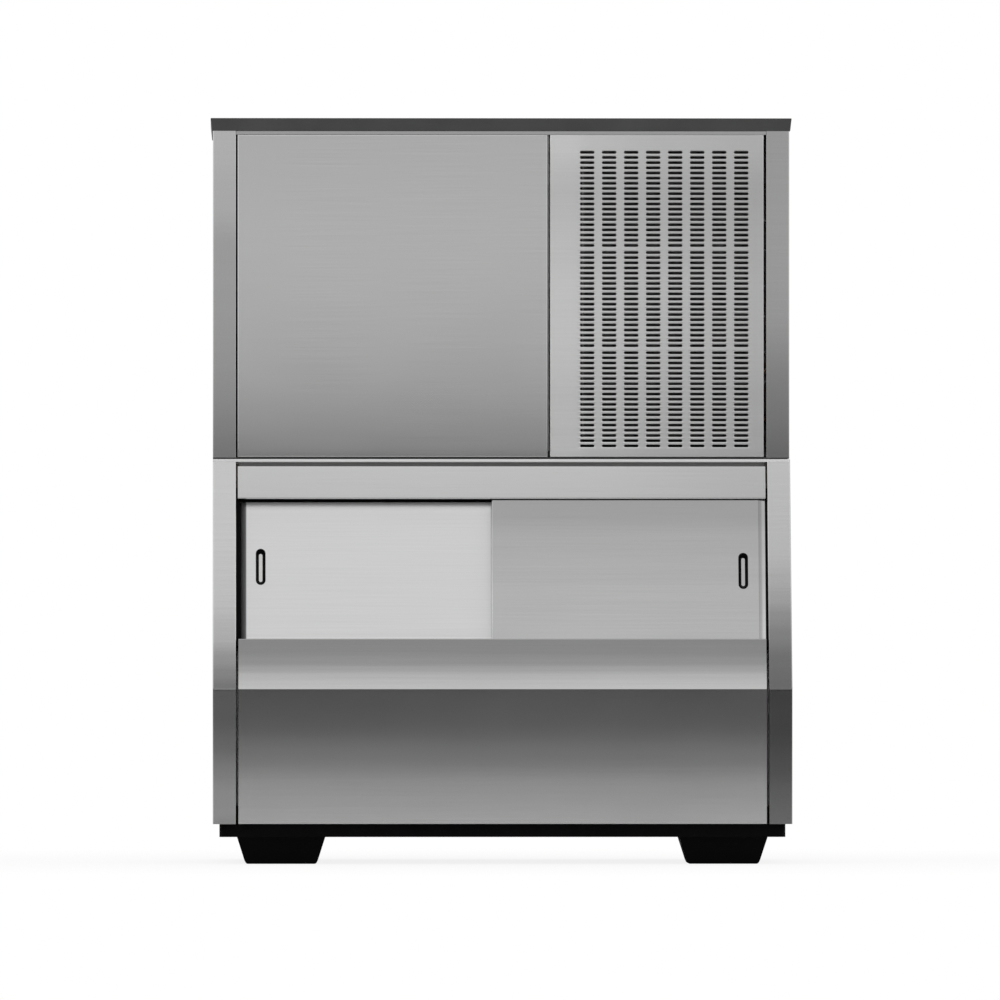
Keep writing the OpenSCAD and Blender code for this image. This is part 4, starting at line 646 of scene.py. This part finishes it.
low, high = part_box("louvre_panel")
group_rise = (SLOT_ROWS - 1) * ROW_STEP + GROUP_STEP
column_lines = low.x + FIRST_COLUMN + (np.arange(SLOT_COLUMNS + 1) - 0.5) * COLUMN_STEP
group_lines = [high.z - FIRST_ROW - g * group_rise - (np.arange(SLOT_ROWS + 1) - 0.5) * ROW_STEP
               for g in range(SLOT_GROUPS)]
us = np.concatenate([[low.x + BEND], column_lines, [high.x - BEND]])
panel_ends = [low.z - LOUVRE_REACH_DOWN + BEND, high.z + REACH_UP - BEND]
vs = np.sort(np.concatenate([panel_ends, *group_lines]))
slot_columns = np.zeros(len(us) - 1, dtype=bool)
slot_columns[1:-1] = True
slot_rows = np.isclose(np.diff(vs), ROW_STEP)
points, faces = tray(upright(low.y), us, vs, high.y - low.y, slot_columns[:, None] & slot_rows[None, :],
                     (SLOT_LENGTH, SLOT_HEIGHT, SLOT_ROLL))
piece("slotted_panel", points, faces, "cabinet", "louvre_steel", "louvre_panel", sharp=50)

# Lower front panel, sloped band and door header: strips with folded edges. The first two meet at the
# crease with cut edges: the panel ends this far under the crease, and the band starts this far over it
CREASE_REST = 0.45 * MM
CREASE_GAP = 0.1 * MM

low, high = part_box("lower_front")
points, faces = strip(upright(low.y), low.x, high.x, [
    (high.y - low.y, low.z), (0, low.z), (0, CREASE - CREASE_REST)])
piece("lower_panel", points, faces, "cabinet", "lower_steel", "lower_front")

# Heights over the crease, as distances up the slope: the sill, and both edges of the door header
SILL = 0.107 / math.cos(SLOPE_TILT)
HEADER = 0.4025 / math.cos(SLOPE_TILT)
HEADER_TOP = 0.4715 / math.cos(SLOPE_TILT)
FOLD = 10.0 * MM
SHORT_FOLD = 3.7 * MM

# How far the header goes past the band at each end
HEADER_REACH = 1.2 * MM

half_band = high.x
half_header = half_band + HEADER_REACH
points, faces = strip(sloped, -half_band, half_band, [
    (0, CREASE_GAP), (0, SILL), (SHORT_FOLD, SILL)])
piece("sloped_band", points, faces, "cabinet", "band_steel", "slope_band")
points, faces = strip(sloped, -half_header, half_header, [
    (SHORT_FOLD, HEADER), (0, HEADER), (0, HEADER_TOP), (FOLD, HEADER_TOP)])
piece("header_strip", points, faces, "cabinet", "header_steel", "door_header")

# Side panels with their corner posts: an outline seen from above at each of several heights
POST_WIDTH = 49.0 * MM
POST_RETURN = 17.0 * MM
REAR_FLANGE = 16.0 * MM
CREASE_BEND = 4.0 * MM
CREASE_STATIONS = 7


def front_of_bin(z):
    """Depth of the bin's front at a height: upright, then the slope, with a short parabola between."""
    above = z - CREASE
    blend = np.clip(above + CREASE_BEND, 0, 2 * CREASE_BEND) ** 2 / (4 * CREASE_BEND)
    return BIN_FRONT + math.tan(SLOPE_TILT) * np.where(above > CREASE_BEND, above, blend)


def side_panel(node_name, front, heights):
    """A side panel: return, post, side and rear flange, as one folded outline at each height. Its
    front is a function of height that gives a depth."""
    low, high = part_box(node_name)
    sign = 1 if high.x > 0 else -1
    half = max(abs(low.x), abs(high.x))
    loops = []
    for z in heights:
        y = float(front(z))
        outline = folded([(half - POST_WIDTH, y + POST_RETURN), (half - POST_WIDTH, y), (half, y),
                          (half, high.y), (half - SHEET - REAR_FLANGE, high.y)])
        loops.append(np.column_stack([sign * outline[:, 0], outline[:, 1], np.full(len(outline), z)]))
    return swept(np.array(loops))


low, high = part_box("bin_right_side")
crease_heights = CREASE + CREASE_BEND * np.linspace(-1, 1, CREASE_STATIONS)
bin_heights = np.concatenate([[low.z], crease_heights, [high.z]])
for side in ("left", "right"):
    points, faces = side_panel(f"bin_{side}_side", front_of_bin, bin_heights)
    piece(f"bin_{side}_panel", points, faces, "cabinet", f"post_steel_{side}", f"bin_{side}_side")
    low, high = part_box(f"head_{side}_side")
    points, faces = side_panel(f"head_{side}_side", lambda z: HEAD_FRONT, [low.z, high.z])
    piece(f"head_{side}_panel", points, faces, "cabinet", f"head_post_{side}", f"head_{side}_side")

# Doors with their finger pulls. Each side: its sign along X, its depth, its pull's rise over the sill,
# its outer edge, and the width of the slant beside that edge
DOORS = (
    ("left", -1, 30.0 * MM, 0.165, 0.5525, 13.0 * MM),
    ("right", 1, 8.0 * MM, 0.15, 0.5575, 15.5 * MM))
DOOR_LAP = 22.0 * MM
DOOR_WALL = 16.0 * MM
DOOR_FOOT = SILL - 10.0 * MM
DOOR_HEAD = HEADER + 14.0 * MM
SLANT_DEPTH = 3.0 * MM
SLANT_BEND = 1.5 * MM
SLANT_LINES = 4
PULL_WIDTH = 20.5 * MM
PULL_HEIGHT = 79.0 * MM
PULL_FLOOR = (7.5 * MM, 61.5 * MM)
PULL_X = 0.509
PULL_DEPTH = 9.0 * MM
PULL_SEAT = 1.3 * MM

# How far the pull's wall ends over the floor of the pocket
PULL_CLEAR = 0.3 * MM

# The round rim of a pull from its outside to its opening: how far in, and how far out of the door
RIM = [(0.0, 0.0), (0.0, 0.5), (0.2, 0.85), (0.6, 1.0), (1.5, 1.0), (2.0, 0.85)]
RIM_END = (2.3 * MM, 0.5 * MM)
WALL_POINTS = 6
ARC_POINTS = 13

# The hole for a pull is this much smaller than its rim, with a rolled edge, in a cell a little longer
POCKET_LAP = 1.0 * MM
POCKET_ROLL = 0.2 * MM
POCKET_MARGIN = 4.0 * MM


def slant(past, width):
    """How far a door's face leans back at a distance past its fold: flat, then a slope, with a short
    parabola between."""
    blend = np.clip(past + SLANT_BEND, 0, 2 * SLANT_BEND) ** 2 / (4 * SLANT_BEND)
    return SLANT_DEPTH / width * np.where(past > SLANT_BEND, past, blend)


def sloped_slab(low, high):
    """A box between two corners, each given by X, depth and rise on the slope."""
    points, faces = box_mesh(low, high)
    return sloped(points[:, 0], points[:, 1], points[:, 2]), faces


def door_mesh(sign, depth, pull_rise, edge, width):
    """A door: a folded skin with the pull's slot in it, a back plate and the floor of the pocket.

    The skin is a tray whose first axis goes up the slope and whose second goes outward. Its lean is
    shared out over its depth, so that its rim stays flat."""
    bend = edge - width

    def place(rise, inward, out):
        lean = slant(out - bend, width) * (1 - inward / DOOR_WALL)
        return sloped(sign * out, depth + inward + lean, rise)

    middle = SILL + pull_rise
    half_cell = PULL_HEIGHT / 2 + POCKET_MARGIN
    us = np.array([DOOR_FOOT + BEND, middle - half_cell, middle + half_cell, DOOR_HEAD - BEND])
    slant_lines = bend + SLANT_BEND * np.linspace(-1, 1, SLANT_LINES)
    vs = np.concatenate([[BEND - DOOR_LAP, PULL_X - PULL_WIDTH, PULL_X + PULL_WIDTH],
                         slant_lines, [edge - BEND]])
    pocket = np.zeros((len(us) - 1, len(vs) - 1), dtype=bool)
    pocket[1, 1] = True
    hole = (PULL_HEIGHT - 2 * POCKET_LAP, PULL_WIDTH - 2 * POCKET_LAP, POCKET_ROLL)
    skin = tray(place, us, vs, DOOR_WALL - SHEET, pocket, hole)
    ends = sorted((-sign * DOOR_LAP, sign * edge))
    back = sloped_slab((ends[0], depth + DOOR_WALL - SHEET, DOOR_FOOT),
                       (ends[1], depth + DOOR_WALL, DOOR_HEAD))
    pocket_floor = sloped_slab(
        (sign * PULL_X - PULL_WIDTH / 2, depth + PULL_DEPTH, middle - PULL_HEIGHT / 2),
        (sign * PULL_X + PULL_WIDTH / 2, depth + PULL_DEPTH + SHEET, middle + PULL_HEIGHT / 2))
    return together([skin, back, pocket_floor])


def stadium_ring(profile):
    """A ring with a closed profile, carried round a stadium.

    Each profile point is half a width, half a height and a depth. Its path is two half circles whose
    radius is half the width, with their centres above and below the middle by half the height less
    that radius."""
    wide, tall, deep = np.array(profile).T
    half_turn = np.linspace(0, math.pi, ARC_POINTS)
    angles = np.concatenate([half_turn, half_turn + math.pi])
    rise = np.repeat([1.0, -1.0], ARC_POINTS)[:, None] * (tall - wide)[None, :]
    u = np.cos(angles)[:, None] * wide[None, :]
    v = rise + np.sin(angles)[:, None] * wide[None, :]
    d = np.broadcast_to(deep, u.shape)
    stations, count = u.shape
    here = np.arange(stations)[:, None] * count
    ahead = (np.arange(stations)[:, None] + 1) % stations * count
    k = np.arange(count)[None, :]
    faces = np.stack([here + k, here + (k + 1) % count, ahead + (k + 1) % count, ahead + k], axis=-1)
    return u, d, v, faces.reshape(-1, 4).tolist()


def pull_profile():
    """Round rim, a straight wall down to the floor's edge, and the outside in the door's pocket."""
    w, h = PULL_WIDTH / 2, PULL_HEIGHT / 2
    foot = PULL_DEPTH - PULL_CLEAR
    outside = [(w - PULL_SEAT, h - PULL_SEAT, foot), (w - PULL_SEAT, h - PULL_SEAT, 0.0)]
    rim = [(w - inset * MM, h - inset * MM, -out * MM) for inset, out in RIM]
    wall = np.linspace((w - RIM_END[0], h - RIM_END[0], -RIM_END[1]),
                       (PULL_FLOOR[0] / 2, PULL_FLOOR[1] / 2, foot), WALL_POINTS)
    return outside + rim + wall.tolist()


for side, sign, depth, rise, edge, width in DOORS:
    points, faces = door_mesh(sign, depth, rise, edge, width)
    piece(f"{side}_door_skin", points, faces, f"{side}_door", f"door_steel_{side}", f"{side}_door")
    u, d, v, faces = stadium_ring(pull_profile())
    points = sloped(sign * PULL_X + u, depth + d, SILL + rise + v)
    piece(f"{side}_finger_pull", points, faces, f"{side}_door", "black_plastic",
          f"{side}_pull")

# Jambs between the doors and the posts, each with a small clearance from its door's edge
JAMB_FIT = 0.3 * MM
JAMB_OUTSIDE = 0.5607
JAMB_DEPTH = (10.0 * MM, 50.0 * MM)
JAMB_HEAD = HEADER - 0.8 * MM

jambs = []
for side, sign, depth, rise, edge, width in DOORS:
    ends = sorted((sign * (edge + JAMB_FIT), sign * JAMB_OUTSIDE))
    jambs.append(sloped_slab((ends[0], JAMB_DEPTH[0], SILL), (ends[1], JAMB_DEPTH[1], JAMB_HEAD)))
points, faces = together(jambs)
piece("jamb_strips", points, faces, "cabinet", "black_plastic", "door_jambs")


# The condenser: rippled fins, tubes with bends, end plates, and an apron under the fins
FINS_X = (0.175, 0.545)
FINS_Z = (0.9, 1.48)
FIN_DEPTH = 50.0 * MM
FIN_STEP = 2.1 * MM
FIN_WALL = 0.16 * MM
FIN_RIPPLES = 6
RIPPLE = 0.9 * MM
TUBE_RADIUS = 5.0 * MM
TUBE_ROWS = 8
TUBE_STEP = 70.0 * MM
TUBE_END = 6.0 * MM
TUBE_SIDES = 16
TURN_POINTS = 12
END_PLATE = 2.0 * MM


def fin_pack(x0, x1, y0, y1, z0, z1):
    """Fins side by side. Seen from above, each is a thin strip that zigzags along Y, which leaves about
    half of the gap between two of them open to a straight view."""
    centres = np.arange(x0 + FIN_STEP, x1 - FIN_STEP / 2, FIN_STEP)
    ys = np.linspace(y0, y1, FIN_RIPPLES + 1)
    zig = RIPPLE * (np.arange(FIN_RIPPLES + 1) % 2 - 0.5)
    outline_x = np.concatenate([zig - FIN_WALL / 2, (zig + FIN_WALL / 2)[::-1]])
    outline_y = np.concatenate([ys, ys[::-1]])
    count = len(outline_x)
    shape = (len(centres), 2, count)
    x = np.broadcast_to(centres[:, None, None] + outline_x, shape)
    y = np.broadcast_to(outline_y, shape)
    z = np.broadcast_to(np.array([z0, z1])[None, :, None], shape)
    points = np.stack([x, y, z], axis=-1).reshape(-1, 3)
    start = np.arange(len(centres))[:, None] * 2 * count
    k = np.arange(count)[None, :]
    beside = (k + 1) % count
    top = start + count
    sides = np.stack([start + k, start + beside, top + beside, top + k], axis=-1).reshape(-1, 4)
    j = np.arange(FIN_RIPPLES)[None, :]
    low_caps = np.stack([start + j, start + j + 1, start + count - 2 - j, start + count - 1 - j],
                        axis=-1).reshape(-1, 4)
    return points, np.vstack([sides, low_caps, low_caps + count]).tolist()


def round_bar(path, radius):
    """A bar round a path of points that lies in a plane square to Y: a circle at each point, turned so
    that it halves the corner."""
    path = np.asarray(path, dtype=float)
    ways = np.gradient(path, axis=0)
    ways /= np.linalg.norm(ways, axis=1)[:, None]
    across = np.cross(ways, [0.0, 1.0, 0.0])
    angle = np.arange(TUBE_SIDES) * 2 * math.pi / TUBE_SIDES
    loops = (path[:, None, :] + radius * np.cos(angle)[None, :, None] * across[:, None, :]
             + radius * np.sin(angle)[None, :, None] * np.array([0.0, 1.0, 0.0]))
    return swept(loops)


def serpentine(x0, x1, y, z0):
    """The condenser tube's path: straight rows joined by half circles at alternate ends."""
    radius = TUBE_STEP / 2
    turn = np.linspace(-math.pi / 2, math.pi / 2, TURN_POINTS)[1:-1]
    path = []
    for row in range(TUBE_ROWS):
        z = z0 + row * TUBE_STEP
        ends = [x1, x0] if row % 2 == 0 else [x0, x1]
        if row == 0:
            ends[0] = x1 + TUBE_END
        if row == TUBE_ROWS - 1:
            ends[1] = x1 + TUBE_END
        path += [(ends[0], y, z), (ends[1], y, z)]
        if row < TUBE_ROWS - 1:
            side = -1 if row % 2 == 0 else 1
            path += [(ends[1] + side * radius * math.cos(a), y, z + radius + radius * math.sin(a))
                     for a in turn]
    return path


low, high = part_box("condenser")
fins_back = low.y + FIN_DEPTH
tube_z0 = sum(FINS_Z) / 2 - (TUBE_ROWS - 1) * TUBE_STEP / 2
tube_path = serpentine(FINS_X[0] - END_PLATE, FINS_X[1] + END_PLATE, low.y + FIN_DEPTH / 2, tube_z0)
points, faces = together([
    fin_pack(*FINS_X, low.y, fins_back, *FINS_Z),
    box_mesh((FINS_X[0] - END_PLATE, low.y, low.z), (FINS_X[0], high.y, high.z)),
    box_mesh((FINS_X[1], low.y, low.z), (FINS_X[1] + END_PLATE, high.y, high.z)),
    box_mesh((FINS_X[0], fins_back - SHEET, low.z), (FINS_X[1], fins_back, FINS_Z[0])),
    round_bar(tube_path, TUBE_RADIUS)])
piece("finned_condenser", points, faces, "cabinet", "fin_aluminium", "condenser")


# Studio

def flat_mesh(name, points, faces):
    """A mesh from a few corner points."""
    mesh = bpy.data.meshes.new(name)
    mesh.from_pydata([tuple(p) for p in points], [], faces)
    return linked(name, mesh)


def mixed_shaders(tree, share, first, second):
    """Two shaders with a share of the second."""
    made = node(tree, "ShaderNodeMixShader")
    join(tree, share, made.inputs["Fac"])
    join(tree, first, made.inputs[1])
    join(tree, second, made.inputs[2])
    return made.outputs[0]


# The floor: how far it goes, its diffuse colour, and how much of that the camera sees inside the
# first reach round the object, fading to none at the second
FLOOR_SPAN = 60.0
FLOOR_COLOUR = 0.8
FLOOR_SHADE = 0.14
SHADOW_REACH = (0.6, 2.2)

floor = flat_mesh("floor", [(-FLOOR_SPAN, -FLOOR_SPAN, FLOOR), (FLOOR_SPAN, -FLOOR_SPAN, FLOOR),
                            (FLOOR_SPAN, FLOOR_SPAN, FLOOR), (-FLOOR_SPAN, FLOOR_SPAN, FLOOR)],
                  [(0, 1, 2, 3)])


def floor_material():
    """Pale floor: plain diffuse for the light, nearly white to the camera, with the shadow kept near
    the object."""
    material = bpy.data.materials.new("studio_floor")
    tree = empty_tree(material)
    out = node(tree, "ShaderNodeOutputMaterial")
    diffuse = node(tree, "ShaderNodeBsdfDiffuse")
    diffuse.inputs["Color"].default_value = (*grey(FLOOR_COLOUR), 1)
    white = node(tree, "ShaderNodeEmission")
    white.inputs["Color"].default_value = (1, 1, 1, 1)
    white.inputs["Strength"].default_value = 1.0
    path = node(tree, "ShaderNodeLightPath")
    place = node(tree, "ShaderNodeTexCoord")
    distance = node(tree, "ShaderNodeVectorMath", operation="LENGTH")
    join(tree, place.outputs["Object"], distance.inputs[0])
    share = remap(tree, distance.outputs["Value"], 1 - FLOOR_SHADE, 1.0, *SHADOW_REACH)
    seen = maths(tree, "MULTIPLY", path.outputs["Is Camera Ray"], share)
    join(tree, mixed_shaders(tree, seen, diffuse.outputs[0], white.outputs[0]), out.inputs["Surface"])
    return material


floor.data.materials.append(floor_material())

# The studio tent: grey walls that only reflections see. Heights in metres with their brightness, and
# the gain that the walls have past the second distance to a side, from none at the first
TENT_RADIUS = 2.9
TENT_FOOT = 1.0 * MM
TENT_SIDES = 64
TENT_TONES = [
    (0.0, 0.62), (0.1, 0.52), (0.22, 0.28), (0.36, 0.1), (0.6, 0.09), (0.85, 0.2), (0.98, 0.45),
    (1.1, 0.6), (1.35, 0.66), (1.6, 0.6), (1.75, 0.62), (1.9, 0.5), (2.1, 0.64), (2.4, 0.75),
    (2.75, 0.85), (3.2, 0.88), (3.6, 0.9)]
TENT_TOP = TENT_TONES[-1][0]
TENT_SIDE = (0.9, 1.8)
TENT_SIDE_GAIN = 1.5


def tent_wall():
    """A round wall: points at even angles round the object, just over the floor and at the top."""
    angles = np.arange(TENT_SIDES) * 2 * math.pi / TENT_SIDES
    ring = np.stack([TENT_RADIUS * np.cos(angles), TENT_RADIUS * np.sin(angles)], axis=1)
    low = np.column_stack([ring, np.full(TENT_SIDES, TENT_FOOT)])
    high = np.column_stack([ring, np.full(TENT_SIDES, TENT_TOP)])
    i = np.arange(TENT_SIDES)
    j = (i + 1) % TENT_SIDES
    faces = np.stack([i, i + TENT_SIDES, j + TENT_SIDES, j], axis=1)
    wall = flat_mesh("studio_tent", np.vstack([low, high]), faces.tolist())
    wall.visible_camera = False
    wall.visible_diffuse = False
    wall.visible_shadow = False
    wall.visible_transmission = False
    wall.visible_volume_scatter = False
    return wall


def tent_material():
    """Brightness by height, and more of it towards the two sides."""
    material = bpy.data.materials.new("studio_tent")
    tree = empty_tree(material)
    out = node(tree, "ShaderNodeOutputMaterial")
    light = node(tree, "ShaderNodeEmission")
    places = axes(tree)
    join(tree, graded(tree, places["Z"], TENT_TONES), light.inputs["Color"])
    outward = maths(tree, "ABSOLUTE", places["X"])
    join(tree, remap(tree, outward, 1.0, TENT_SIDE_GAIN, *TENT_SIDE), light.inputs["Strength"])
    join(tree, light.outputs[0], out.inputs["Surface"])
    return material


tent = tent_wall()
tent.data.materials.append(tent_material())

# The grey of the light from all round
SKY = 0.62


def world_light():
    """Even light from all round, white to the camera and in reflections."""
    world = bpy.data.worlds.new("studio")
    bpy.context.scene.world = world
    tree = empty_tree(world)
    out = node(tree, "ShaderNodeOutputWorld")
    fill = node(tree, "ShaderNodeBackground")
    fill.inputs["Color"].default_value = (*grey(SKY), 1)
    white = node(tree, "ShaderNodeBackground")
    white.inputs["Color"].default_value = (1, 1, 1, 1)
    path = node(tree, "ShaderNodeLightPath")
    seen = maths(tree, "MAXIMUM", path.outputs["Is Camera Ray"], path.outputs["Is Glossy Ray"])
    seen = maths(tree, "MAXIMUM", seen, path.outputs["Is Transmission Ray"])
    join(tree, mixed_shaders(tree, seen, fill.outputs[0], white.outputs[0]), out.inputs["Surface"])


world_light()

# Square soft lamps: name, place and power in watts. Reflections don't show them
LAMPS = (
    ("key_lamp", (-2.2, -3.4, 3.6), 60.0),
    ("fill_lamp", (2.8, -2.4, 2.6), 26.0),
    ("back_lamp", (0.6, 3.2, 3.2), 40.0))
LAMP_AIM = (0, 0, 0.8)
LAMP_SIZE = 2.4


def turned(place, aim):
    """The turn that makes a lamp or a camera look from a place to a point, upright."""
    return (Vector(aim) - Vector(place)).to_track_quat("-Z", "Y").to_euler()


for name, place, power in LAMPS:
    lamp = bpy.data.lights.new(name, "AREA")
    lamp.shape = "SQUARE"
    lamp.size = LAMP_SIZE
    lamp.energy = power
    made = linked(name, lamp)
    made.location = place
    made.rotation_euler = turned(place, LAMP_AIM)
    made.visible_glossy = False

# Camera: far off, a little to the left and low, aimed at the middle of the machine. The scale is the
# size of a pixel at the front of the head
SCALE = 2.116 * MM
IMAGE_WIDTH = 1000
CAMERA_AT = Vector((-0.59, HEAD_FRONT - 32.5, 0.45))
CAMERA_AIM = Vector((-0.0025, HEAD_FRONT, 0.768))
SENSOR = 36.0
FAR_END = 200.0

camera_data = bpy.data.cameras.new("camera")
camera = linked("camera", camera_data)
camera.location = CAMERA_AT
camera.rotation_euler = turned(CAMERA_AT, CAMERA_AIM)
camera_data.sensor_width = SENSOR
camera_data.lens = SENSOR * (CAMERA_AIM - CAMERA_AT).length / (IMAGE_WIDTH * SCALE)
camera_data.clip_end = FAR_END
bpy.context.scene.camera = camera
bpy.context.scene.view_settings.view_transform = "Standard"
